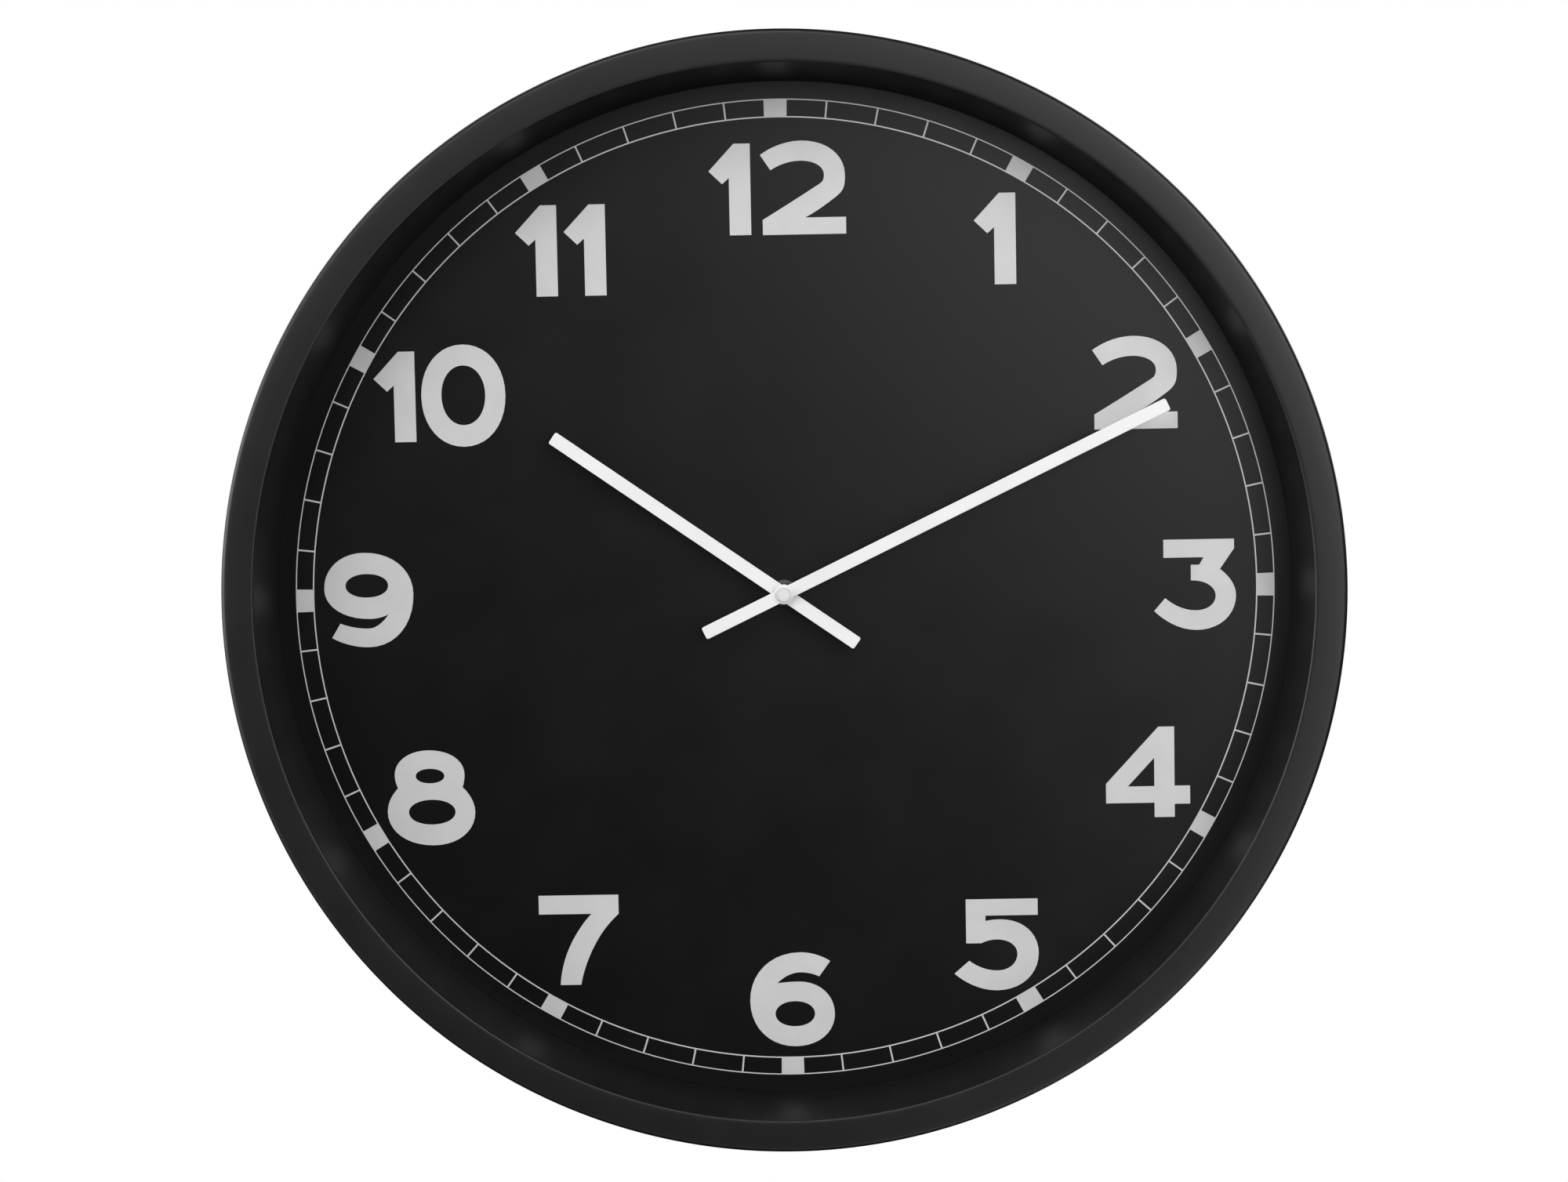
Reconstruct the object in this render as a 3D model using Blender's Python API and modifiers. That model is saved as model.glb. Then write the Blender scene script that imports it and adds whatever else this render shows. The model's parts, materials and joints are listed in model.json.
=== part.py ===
"""Round wall clock, 603 mm across, with a deep spun-steel case and a quartz movement.

Metres, +Z up. The origin is the hang point: the wall plane is Y = 0, the wall is on its +Y side,
and the dial faces -Y. Every piece hangs from the empty clock_axis, whose own frame has +X to the
right, +Y up and +Z out of the wall along the arbor of the hands, as a clockmaker would draw it.
"""

import math

import bmesh
import bpy
from mathutils import Matrix

MM = 0.001
GAP = 0.3 * MM                  # between pieces that touch on the real clock
ROUND_STEPS = 72                # facets round the case, the dial and the back board
WELD = 0.01 * MM
SMALL_STEPS = 10                # facets round screws, their holes and the thin arbors

# Case, measured from the wall plane
CASE_RADIUS = 301.5 * MM
CASE_DEPTH = 66 * MM
SHEET = 1.2 * MM
LIP_RADIUS = 283.8 * MM         # inner edge of the front face
FOOT_RADIUS = 278 * MM          # where the inner wall meets the dial
FACE_EDGE_DROP = 0.2 * MM       # how far the crowned face falls to its edges
FRONT_CORNER = 3 * MM
LIP_CORNER = 1.5 * MM
REAR_FLANGE_RADIUS = 294 * MM
DIAL_FLANGE_RADIUS = 288 * MM

# Dial and back board
DIAL_FRONT = 24 * MM
DIAL_SHEET = 1 * MM
DIAL_RADIUS = 287.4 * MM
DIAL_SCREW_RADIUS = 283.4 * MM
DIAL_SCREWS = 6
DIAL_SCREW_START = 30           # degrees anticlockwise from +X
DIAL_SCREW_HOLE = 1.7 * MM      # radius
BOARD_REAR = 4 * MM
BOARD_THICK = 3 * MM
BOARD_RADIUS = 293 * MM
BOARD_WINDOW = 48 * MM          # half the width of the square window round the movement
BRACKETS = 4
BRACKET_START = 45
BRACKET_SCREW_RADIUS = 285.5 * MM
BOARD_SCREW_HOLE = 2.0 * MM     # radius

# Hanger, a plate with a keyhole slot; the hang point is the centre of the slot's round top end
HANG_HEIGHT = 255 * MM          # above the arbor
KEYHOLE_DROP = 13 * MM          # from the hang point down to the centre of the keyhole's round
KEYHOLE_RADIUS = 5.2 * MM
SLOT_HALF_WIDTH = 2.7 * MM
PLATE_SHEET = 1.2 * MM
PLATE_WIDTH = 52 * MM
PLATE_HEIGHT = 40 * MM
PLATE_DROP = 8 * MM             # from the hang point down to the middle of the plate
PLATE_SCREW_OFFSET = 20.5 * MM

# Hands
MINUTE_LENGTH = 232 * MM
MINUTE_TAIL = 48.4 * MM
MINUTE_WIDTH = 7.0 * MM
HOUR_LENGTH = 152 * MM
HOUR_TAIL = 48.4 * MM
HOUR_WIDTH = 7.3 * MM
BOSS_RADIUS = 5.3 * MM
HAND_THICK = 1 * MM
HOUR_HAND_HEIGHT = 11.6 * MM    # above the dial
MINUTE_HAND_HEIGHT = 14.0 * MM
CAP_RADIUS = 3.8 * MM
MINUTE_ANGLE = 64.55           # degrees clockwise from 12, at about eleven minutes past ten
HOUR_ANGLE = 305.1

# Movement, measured from the wall plane
MOVEMENT_HALF = 28 * MM
MOVEMENT_FRONT = 21.4 * MM
MOVEMENT_REAR = 7.1 * MM
MOVEMENT_WALL = 1.2 * MM
FRONT_WALL = 1 * MM
COVER_THICK = 1.2 * MM
BAY_TOP = -12 * MM              # the battery bay fills the movement below this height
BATTERY_RADIUS = 7.1 * MM
BATTERY_LENGTH = 49 * MM

# Arbor, tubes and bush, from the inside out
ARBOR_RADIUS = 1.45 * MM
HOUR_TUBE_BORE = 1.8 * MM
HOUR_TUBE_RADIUS = 2.55 * MM
BUSH_BORE = 2.95 * MM
BUSH_RADIUS = 3.9 * MM
PIVOT_RADIUS = 0.6 * MM

# Gear trains: teeth, modules and the heights of the wheels above the wall plane
MOTION_MODULE = 0.5 * MM
MINUTE_PINION = 10
MOTION_WHEEL = 30
MOTION_PINION = 8
HOUR_WHEEL = 32
SETTING_PINION = 10
TRAIN_PINION = 6
CENTRE_WHEEL = 48
THIRD_WHEEL = 45
SECONDS_WHEEL = 36
INTERMEDIATE_WHEEL = 30
THIRD_MODULE = 0.4 * MM
TRAIN_MODULE = 0.4 * MM
WHEEL_THICK = 0.9 * MM
PINION_THICK = 1.5 * MM
HOUR_LAYER = 18.8 * MM
MINUTE_LAYER = 17.4 * MM
CENTRE_LAYER = 15.7 * MM
THIRD_LAYER = 14.0 * MM
SECONDS_LAYER = 12.2 * MM
ROTOR_LAYER = 10.2 * MM
MOTION_DIRECTION = math.radians(45)
SETTING_DIRECTION = math.radians(20)
THIRD_DIRECTION = math.radians(150)
INTERMEDIATE_DIRECTION = math.radians(70)
ROTOR_DIRECTION = math.radians(60)


# ---------------------------------------------------------------- scene, materials and placing

def clear_scene():
    for obj in list(bpy.data.objects):
        bpy.data.objects.remove(obj, do_unlink=True)


def new_collection(name):
    collection = bpy.data.collections.new(name)
    bpy.context.scene.collection.children.link(collection)
    return collection


def new_material(name, colour, roughness, metallic=0.0):
    material = bpy.data.materials.new(name)
    material.use_nodes = True
    shader = material.node_tree.nodes["Principled BSDF"]
    shader.inputs["Base Color"].default_value = (*colour, 1.0)
    shader.inputs["Roughness"].default_value = roughness
    shader.inputs["Metallic"].default_value = metallic
    material.diffuse_color = (*colour, 1.0)
    return material


clear_scene()
MODEL = new_collection("wall_clock")
CUTTERS = new_collection("cutters")

BLACK_STEEL = new_material("black_steel", (0.03, 0.03, 0.03), 0.42)
DIAL_BLACK = new_material("dial_black", (0.02, 0.02, 0.02), 0.5)
WHITE_PAINT = new_material("white_paint", (0.85, 0.85, 0.85), 0.5)
PRESSED_BOARD = new_material("pressed_board", (0.24, 0.15, 0.09), 0.8)
ZINC_STEEL = new_material("zinc_steel", (0.62, 0.62, 0.60), 0.35, 1.0)
BLACK_ZINC = new_material("black_zinc", (0.05, 0.05, 0.05), 0.4, 0.6)
BRASS = new_material("brass", (0.80, 0.58, 0.26), 0.3, 1.0)
BLACK_RUBBER = new_material("black_rubber", (0.03, 0.03, 0.03), 0.85)
BLACK_PLASTIC = new_material("black_plastic", (0.035, 0.035, 0.038), 0.55)
WHITE_PLASTIC = new_material("white_plastic", (0.80, 0.80, 0.76), 0.45)
COPPER = new_material("copper", (0.72, 0.33, 0.16), 0.35, 1.0)
GREEN_BOARD = new_material("green_board", (0.05, 0.25, 0.12), 0.5)
MAGNET = new_material("magnet", (0.10, 0.10, 0.11), 0.5, 0.5)
BATTERY_JACKET = new_material("battery_jacket", (0.10, 0.22, 0.42), 0.35)


def clock_axis():
    """The empty that carries the clock: its own +Z runs out of the wall along the arbor."""
    empty = bpy.data.objects.new("clock_axis", None)
    CUTTERS.objects.link(empty)
    empty.location = (0, 0, -HANG_HEIGHT)
    empty.rotation_euler = (math.radians(90), 0, 0)
    return empty


AXIS = clock_axis()


def place(name, mesh, material, location=(0, 0, 0), turn=0.0):
    """Add a mesh as a named piece; turn is anticlockwise in the clock's own frame."""
    obj = bpy.data.objects.new(name, mesh)
    MODEL.objects.link(obj)
    obj.parent = AXIS
    obj.location = location
    obj.rotation_euler = (0, 0, turn)
    mesh.materials.clear()
    mesh.materials.append(material)
    return obj


def place_cutter(mesh, parent, location=(0, 0, 0)):
    obj = bpy.data.objects.new("cutter", mesh)
    CUTTERS.objects.link(obj)
    obj.parent = parent
    obj.location = location
    obj.hide_render = True
    obj.display_type = 'WIRE'
    return obj


def combine(target, mesh, operation, location=(0, 0, 0)):
    """Unite a mesh with the target, or cut it out; location is in the target's own frame."""
    boolean = target.modifiers.new("combine", 'BOOLEAN')
    boolean.operation = operation
    boolean.object = place_cutter(mesh, target, location)


def smooth(mesh, angle=35):
    mesh.shade_smooth()
    mesh.set_sharp_from_angle(angle=math.radians(angle))


# ---------------------------------------------------------------- basic shapes

def box_mesh(width, height, depth):
    mesh = bpy.data.meshes.new("box")
    bm = bmesh.new()
    bmesh.ops.create_cube(bm, size=1.0)
    bmesh.ops.scale(bm, vec=(width, height, depth), verts=bm.verts)
    bm.to_mesh(mesh)
    bm.free()
    return mesh


def cylinder_mesh(radius, depth, steps=16):
    mesh = bpy.data.meshes.new("cylinder")
    bm = bmesh.new()
    bmesh.ops.create_cone(bm, cap_ends=True, segments=steps, radius1=radius, radius2=radius, depth=depth)
    bm.to_mesh(mesh)
    bm.free()
    smooth(mesh)
    return mesh


def arc(centre_x, centre_y, radius, start, end, steps):
    """Points along an arc, with its angles in degrees and both of its ends included."""
    points = []
    for step in range(steps + 1):
        angle = math.radians(start + (end - start) * step / steps)
        points.append((centre_x + radius * math.cos(angle), centre_y + radius * math.sin(angle)))
    return points


def circle(centre_x, centre_y, radius, steps=16):
    return arc(centre_x, centre_y, radius, 0, 360, steps)[:-1]


def rectangle(low_x, low_y, high_x, high_y):
    return [(low_x, low_y), (high_x, low_y), (high_x, high_y), (low_x, high_y)]


def rounded_rectangle(width, height, radius, centre_y=0.0, steps=3):
    points = []
    for start, side_x, side_y in ((0, 1, 1), (90, -1, 1), (180, -1, -1), (270, 1, -1)):
        corner_x = side_x * (width / 2 - radius)
        corner_y = centre_y + side_y * (height / 2 - radius)
        points += arc(corner_x, corner_y, radius, start, start + 90, steps)
    return points


def flat_mesh(outlines, thickness):
    """A flat plate centred on its own plane: the first outline is its edge, the rest are holes."""
    curve = bpy.data.curves.new("outline", 'CURVE')
    curve.dimensions = '2D'
    curve.fill_mode = 'BOTH'
    curve.extrude = thickness / 2
    for outline in outlines:
        spline = curve.splines.new('POLY')
        spline.points.add(len(outline) - 1)
        for point, (x, y) in zip(spline.points, outline):
            point.co = (x, y, 0, 1)
        spline.use_cyclic_u = True
    guide = bpy.data.objects.new("outline", curve)
    CUTTERS.objects.link(guide)
    graph = bpy.context.evaluated_depsgraph_get()
    mesh = bpy.data.meshes.new_from_object(guide.evaluated_get(graph))
    bpy.data.objects.remove(guide, do_unlink=True)
    bm = bmesh.new()
    bm.from_mesh(mesh)
    bmesh.ops.remove_doubles(bm, verts=bm.verts, dist=WELD)
    bm.to_mesh(mesh)
    bm.free()
    smooth(mesh)
    return mesh


def turned(name, profile, material, location=(0, 0, 0), steps=16, wall=0.0, closed=False):
    """Turn a profile of (radius, height) points, listed down its outer side, about the piece's +Z."""
    mesh = bpy.data.meshes.new(name)
    edges = [(i, i + 1) for i in range(len(profile) - 1)]
    if closed:
        edges.append((len(profile) - 1, 0))
    mesh.from_pydata([(radius, 0, height) for radius, height in profile], edges, [])
    obj = place(name, mesh, material, location)
    screw = obj.modifiers.new("turn", 'SCREW')
    screw.axis = 'Z'
    screw.angle = math.tau
    screw.steps = steps
    screw.render_steps = steps
    screw.use_merge_vertices = True
    screw.merge_threshold = WELD
    screw.use_smooth_shade = True
    if wall:
        shell = obj.modifiers.new("sheet", 'SOLIDIFY')
        shell.thickness = wall
        shell.offset = -1
        shell.use_even_offset = True
    return obj


# ---------------------------------------------------------------- gears

def gear_outline(teeth, module, turn=0.0):
    """Tapered teeth on a root circle, cut short and narrow so that meshed wheels never touch."""
    pitch = math.tau / teeth
    root = module * (teeth / 2 - 1.15)
    tip = module * (teeth / 2 + 0.72)
    corners = ((-0.28, root), (-0.11, tip), (0.11, tip), (0.28, root))
    points = []
    for tooth in range(teeth):
        for share, radius in corners:
            angle = turn + (tooth + share) * pitch
            points.append((radius * math.cos(angle), radius * math.sin(angle)))
    return points


def gear_mesh(teeth, module, thickness, turn=0.0, bore=0.0):
    outlines = [gear_outline(teeth, module, turn)]
    if bore:
        outlines.append(circle(0, 0, bore))
    return flat_mesh(outlines, thickness)


def meshed_turn(turn, teeth, other_teeth, direction):
    """The turn that brings the other gear into mesh with this one, which lies in that direction."""
    pitch = math.tau / teeth
    other_pitch = math.tau / other_teeth
    return direction + math.pi + other_pitch * ((direction - turn) / pitch - 0.5)


def centre_distance(module, teeth, other_teeth):
    return module * (teeth + other_teeth) / 2


def beside(place_from, distance, direction):
    return (
        place_from[0] + distance * math.cos(direction),
        place_from[1] + distance * math.sin(direction),
    )


def arbor_piece(name, material, location, wheel, pinion=None, arbor=None):
    """A wheel with its pinion and arbor in one piece; location gives the wheel's mid-plane.

    wheel and pinion are (teeth, module, turn, height); arbor is (radius, low, high). The heights
    are above the wall plane.
    """
    teeth, module, turn, height = wheel
    obj = place(name, gear_mesh(teeth, module, WHEEL_THICK, turn), material, (*location, height))
    if pinion:
        teeth, module, turn, pinion_height = pinion
        pinion_piece = gear_mesh(teeth, module, PINION_THICK, turn)
        combine(obj, pinion_piece, 'UNION', (0, 0, pinion_height - height))
    if arbor:
        radius, low, high = arbor
        shaft = cylinder_mesh(radius, high - low, SMALL_STEPS)
        combine(obj, shaft, 'UNION', (0, 0, (low + high) / 2 - height))
    return obj


# ---------------------------------------------------------------- fasteners

def screw_piece(name, location, head_radius, head_height, shank_radius, length, material):
    """A pan-head screw whose head sits on its own XY plane and points to -Z, towards the wall."""
    profile = [
        (0, length),
        (shank_radius, length - shank_radius * 0.4),
        (shank_radius, 0),
        (head_radius, 0),
        (head_radius, -head_height * 0.5),
        (head_radius * 0.6, -head_height),
        (0, -head_height),
    ]
    return turned(name, profile, material, location, SMALL_STEPS)


# ---------------------------------------------------------------- case, dial and back

def case_profile():
    """The skin of the spun case, from the flange round the dial over the face to the rear flange."""
    edge_height = CASE_DEPTH - FACE_EDGE_DROP
    flange_height = DIAL_FRONT + GAP
    peak_radius = (CASE_RADIUS + LIP_RADIUS) / 2
    foot_corner = 1.0 * MM
    rear_corner = 1.2 * MM
    profile = [(DIAL_FLANGE_RADIUS, flange_height)]
    profile += arc(FOOT_RADIUS + foot_corner, flange_height + foot_corner, foot_corner, 270, 180, 2)
    profile += arc(LIP_RADIUS + LIP_CORNER, edge_height - LIP_CORNER, LIP_CORNER, 180, 90, 2)
    profile.append((peak_radius, CASE_DEPTH))
    profile += arc(CASE_RADIUS - FRONT_CORNER, edge_height - FRONT_CORNER, FRONT_CORNER, 90, 0, 3)
    profile += [
        (CASE_RADIUS, rear_corner),
        (CASE_RADIUS - rear_corner, 0),
        (REAR_FLANGE_RADIUS, 0),
    ]
    return profile


def build_case():
    case = turned("spun_case", case_profile(), BLACK_STEEL, steps=ROUND_STEPS, wall=SHEET)
    for x, y in ring_points(DIAL_SCREWS, DIAL_SCREW_RADIUS, DIAL_SCREW_START):
        hole = cylinder_mesh(DIAL_SCREW_HOLE, 4 * MM, SMALL_STEPS)
        combine(case, hole, 'DIFFERENCE', (x, y, DIAL_FRONT + SHEET / 2))


def ring_points(count, radius, first_degrees):
    return [
        (radius * math.cos(angle), radius * math.sin(angle))
        for angle in (math.radians(first_degrees + 360 * i / count) for i in range(count))
    ]


def build_dial():
    screw_places = ring_points(DIAL_SCREWS, DIAL_SCREW_RADIUS, DIAL_SCREW_START)
    outlines = [circle(0, 0, DIAL_RADIUS, ROUND_STEPS), circle(0, 0, BUSH_RADIUS + GAP)]
    outlines += [circle(x, y, DIAL_SCREW_HOLE, SMALL_STEPS) for x, y in screw_places]
    dial_place = (0, 0, DIAL_FRONT - DIAL_SHEET / 2)
    place("dial_plate", flat_mesh(outlines, DIAL_SHEET), DIAL_BLACK, dial_place)
    for number, (x, y) in enumerate(screw_places, start=1):
        seat = (x, y, DIAL_FRONT - DIAL_SHEET - GAP)
        screw_piece(f"dial_screw_{number}", seat, 2.8 * MM, 1.8 * MM, 1.35 * MM, 5 * MM, BLACK_ZINC)


def keyhole_outline():
    """A round hole with a slot above it, about the hang point's place on the board."""
    low_y = HANG_HEIGHT - KEYHOLE_DROP
    neck = math.degrees(math.acos(SLOT_HALF_WIDTH / KEYHOLE_RADIUS))
    points = arc(0, low_y, KEYHOLE_RADIUS, 180 - neck, 360 + neck, 12)
    points += arc(0, HANG_HEIGHT, SLOT_HALF_WIDTH, 0, 180, 8)
    return points


def build_back_board():
    """Pressed board with a window for the movement and a pocket behind the keyhole plate."""
    pocket_half = 14 * MM
    pocket_low = HANG_HEIGHT - 22 * MM
    pocket_high = HANG_HEIGHT + 8 * MM
    pocket = rectangle(-pocket_half, pocket_low, pocket_half, pocket_high)
    bracket_screws = ring_points(BRACKETS, BRACKET_SCREW_RADIUS, BRACKET_START)
    plate_screws = [(side * PLATE_SCREW_OFFSET, HANG_HEIGHT - PLATE_DROP) for side in (-1, 1)]
    window = rectangle(-BOARD_WINDOW, -BOARD_WINDOW, BOARD_WINDOW, BOARD_WINDOW)
    outlines = [circle(0, 0, BOARD_RADIUS, ROUND_STEPS), window, pocket]
    outlines += [circle(x, y, BOARD_SCREW_HOLE, SMALL_STEPS) for x, y in bracket_screws + plate_screws]
    height = BOARD_REAR + BOARD_THICK / 2
    place("back_board", flat_mesh(outlines, BOARD_THICK), PRESSED_BOARD, (0, 0, height))
    for number, (x, y) in enumerate(bracket_screws, start=1):
        seat = (x, y, BOARD_REAR - GAP)
        screw_piece(f"back_screw_{number}", seat, 3.2 * MM, 2.0 * MM, 1.6 * MM, 8 * MM, BLACK_ZINC)
    build_hanger(plate_screws)


def build_hanger(plate_screws):
    corner = 4 * MM
    edge = rounded_rectangle(PLATE_WIDTH, PLATE_HEIGHT, corner, HANG_HEIGHT - PLATE_DROP)
    outlines = [edge, keyhole_outline()]
    outlines += [circle(x, y, BOARD_SCREW_HOLE, SMALL_STEPS) for x, y in plate_screws]
    rear = BOARD_REAR - GAP - PLATE_SHEET
    place("hanger_plate", flat_mesh(outlines, PLATE_SHEET), ZINC_STEEL, (0, 0, rear + PLATE_SHEET / 2))
    for number, (x, y) in enumerate(plate_screws, start=1):
        seat = (x, y, rear - GAP)
        screw_piece(f"hanger_screw_{number}", seat, 3.0 * MM, 1.5 * MM, 1.6 * MM, 4.3 * MM, ZINC_STEEL)


def build_brackets():
    """Angle brackets inside the case wall, which the back board is screwed to."""
    leg_outer = 299.5 * MM
    foot_inner = 280 * MM
    width = 14 * MM
    foot_rear = BOARD_REAR + BOARD_THICK + GAP
    leg_front = 20 * MM
    for number in range(1, BRACKETS + 1):
        angle = math.radians(BRACKET_START + 360 * (number - 1) / BRACKETS)
        outline = [
            (foot_inner, foot_rear),
            (leg_outer, foot_rear),
            (leg_outer, leg_front),
            (leg_outer - SHEET, leg_front),
            (leg_outer - SHEET, foot_rear + SHEET),
            (foot_inner, foot_rear + SHEET),
        ]
        mesh = flat_mesh([outline], width)
        obj = place(f"back_bracket_{number}", mesh, ZINC_STEEL)
        obj.rotation_euler = (math.radians(90), 0, angle)
        hole = cylinder_mesh(BOARD_SCREW_HOLE, 4 * MM, SMALL_STEPS)
        turn_mesh(hole, 'X', -90)
        combine(obj, hole, 'DIFFERENCE', (BRACKET_SCREW_RADIUS, foot_rear + SHEET / 2, 0))


def turn_mesh(mesh, axis, degrees):
    matrix = Matrix.Rotation(math.radians(degrees), 3, axis)
    bm = bmesh.new()
    bm.from_mesh(mesh)
    bmesh.ops.rotate(bm, verts=bm.verts, cent=(0, 0, 0), matrix=matrix)
    bm.to_mesh(mesh)
    bm.free()


# ---------------------------------------------------------------- hands

def hand_outline(length, tail, width):
    """A straight bar with square, slightly eased ends and a round boss at the arbor."""
    corner = 1.1 * MM
    half = width / 2
    meet = math.degrees(math.asin(half / BOSS_RADIUS))
    points = []
    points += arc(half - corner, length - corner, corner, 0, 90, 2)
    points += arc(corner - half, length - corner, corner, 90, 180, 2)
    points += arc(0, 0, BOSS_RADIUS, 90 + meet, 270 - meet, 8)
    points += arc(corner - half, corner - tail, corner, 180, 270, 2)
    points += arc(half - corner, corner - tail, corner, 270, 360, 2)
    points += arc(0, 0, BOSS_RADIUS, meet - 90, 90 - meet, 8)
    return points


def build_hands():
    minute_bar = hand_outline(MINUTE_LENGTH, MINUTE_TAIL, MINUTE_WIDTH)
    hour_bar = hand_outline(HOUR_LENGTH, HOUR_TAIL, HOUR_WIDTH)
    minute = flat_mesh([minute_bar, circle(0, 0, ARBOR_RADIUS + GAP)], HAND_THICK)
    hour = flat_mesh([hour_bar, circle(0, 0, HOUR_TUBE_RADIUS + GAP)], HAND_THICK)
    minute_place = (0, 0, DIAL_FRONT + MINUTE_HAND_HEIGHT)
    hour_place = (0, 0, DIAL_FRONT + HOUR_HAND_HEIGHT)
    place("minute_hand", minute, WHITE_PAINT, minute_place, -math.radians(MINUTE_ANGLE))
    place("hour_hand", hour, WHITE_PAINT, hour_place, -math.radians(HOUR_ANGLE))
    build_cap(minute_place)


def build_cap(location):
    """The blind cap on the end of the arbor, in front of the minute hand."""
    seat = HAND_THICK / 2 + GAP
    cap_height = 2.2 * MM
    bore_depth = 1.2 * MM
    chamfer = 0.6 * MM
    profile = [
        (0, seat + cap_height),
        (CAP_RADIUS - chamfer, seat + cap_height),
        (CAP_RADIUS, seat + cap_height - chamfer),
        (CAP_RADIUS, seat),
        (ARBOR_RADIUS + GAP, seat),
        (ARBOR_RADIUS + GAP, seat + bore_depth),
        (0, seat + bore_depth),
    ]
    turned("hub_cap", profile, WHITE_PAINT, location, steps=24)


# ---------------------------------------------------------------- movement: box and fixings

def build_movement_box():
    depth = MOVEMENT_FRONT - MOVEMENT_REAR
    inner = MOVEMENT_HALF - MOVEMENT_WALL
    mid = (MOVEMENT_FRONT + MOVEMENT_REAR) / 2
    width = 2 * MOVEMENT_HALF
    box = place("movement_housing", box_mesh(width, width, depth), BLACK_PLASTIC, (0, 0, mid))
    room_low = BAY_TOP + FRONT_WALL
    overrun = 2 * MM
    pocket_depth = depth - FRONT_WALL + overrun
    pocket_mid = (pocket_depth - depth) / 2 - overrun
    room = box_mesh(2 * inner, inner - room_low, pocket_depth)
    combine(box, room, 'DIFFERENCE', (0, (inner + room_low) / 2, pocket_mid))
    bay = box_mesh(2 * inner, inner + BAY_TOP, pocket_depth)
    combine(box, bay, 'DIFFERENCE', (0, (BAY_TOP - inner) / 2, pocket_mid))
    for side in (-1, 1):
        notch = box_mesh(2 * MM, 3 * MM, 6 * MM)
        combine(box, notch, 'DIFFERENCE', (side * (inner - 0.9 * MM), BAY_TOP, -depth / 2))
    bush_hole = cylinder_mesh(BUSH_RADIUS + GAP, 6 * MM)
    combine(box, bush_hole, 'DIFFERENCE', (0, 0, depth / 2))
    build_cover(width)


def build_cover(width):
    """The rear cover, with a hole for the setting knob's arbor; it stops above the battery bay."""
    low = BAY_TOP + GAP
    knob_x, knob_y = setting_place()
    knob_hole = 2.1 * MM
    outlines = [rectangle(-width / 2, low, width / 2, width / 2), circle(knob_x, knob_y, knob_hole)]
    height = MOVEMENT_REAR - GAP - COVER_THICK / 2
    place("movement_cover", flat_mesh(outlines, COVER_THICK), BLACK_PLASTIC, (0, 0, height))


def build_bush():
    """The brass bush clamps the movement to the dial, with its gasket behind and its nut in front."""
    inner_flange = MOVEMENT_FRONT - FRONT_WALL - GAP
    front = DIAL_FRONT + 8 * MM
    flange_radius = 5.4 * MM
    flange_thick = 0.5 * MM
    profile = [
        (BUSH_BORE, front),
        (BUSH_RADIUS, front),
        (BUSH_RADIUS, inner_flange),
        (flange_radius, inner_flange),
        (flange_radius, inner_flange - flange_thick),
        (BUSH_BORE, inner_flange - flange_thick),
    ]
    turned("threaded_bush", profile, BRASS, closed=True)
    build_bush_fixings()


def build_bush_fixings():
    """Gasket behind the dial, washer and hexagon nut in front of it, all bored for the bush."""
    bore = circle(0, 0, BUSH_RADIUS + GAP)
    gasket_radius = 17 * MM
    gasket_thick = 1.0 * MM
    gasket_mid = (MOVEMENT_FRONT + DIAL_FRONT - DIAL_SHEET) / 2
    gasket = flat_mesh([circle(0, 0, gasket_radius, 24), bore], gasket_thick)
    place("dial_gasket", gasket, BLACK_RUBBER, (0, 0, gasket_mid))
    washer_radius = 7.1 * MM
    washer_thick = 0.7 * MM
    washer_mid = DIAL_FRONT + GAP + washer_thick / 2
    washer = flat_mesh([circle(0, 0, washer_radius, 24), bore], washer_thick)
    place("bush_washer", washer, BLACK_ZINC, (0, 0, washer_mid))
    nut_corner_radius = 6.0 * MM
    nut_thick = 2.4 * MM
    nut_mid = DIAL_FRONT + 2 * GAP + washer_thick + nut_thick / 2
    nut = flat_mesh([circle(0, 0, nut_corner_radius, 6), bore], nut_thick)
    place("bush_nut", nut, BLACK_ZINC, (0, 0, nut_mid))


# ---------------------------------------------------------------- movement: motion work

def motion_place():
    distance = centre_distance(MOTION_MODULE, MINUTE_PINION, MOTION_WHEEL)
    return beside((0, 0), distance, MOTION_DIRECTION)


def setting_place():
    distance = centre_distance(MOTION_MODULE, SETTING_PINION, MOTION_WHEEL)
    return beside(motion_place(), distance, SETTING_DIRECTION)


def build_hour_wheel():
    """The hour wheel and its tube, which runs out through the bush to the hour hand."""
    turn = meshed_turn(0.0, MOTION_PINION, HOUR_WHEEL, MOTION_DIRECTION + math.pi)
    wheel = gear_mesh(HOUR_WHEEL, MOTION_MODULE, WHEEL_THICK, turn, bore=2.2 * MM)
    obj = place("hour_wheel", wheel, WHITE_PLASTIC, (0, 0, HOUR_LAYER))
    front = DIAL_FRONT + HOUR_HAND_HEIGHT + 0.9 * MM
    low = HOUR_LAYER - WHEEL_THICK / 3
    tube = flat_mesh([circle(0, 0, HOUR_TUBE_RADIUS), circle(0, 0, HOUR_TUBE_BORE)], front - low)
    combine(obj, tube, 'UNION', (0, 0, (front + low) / 2 - HOUR_LAYER))


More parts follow.
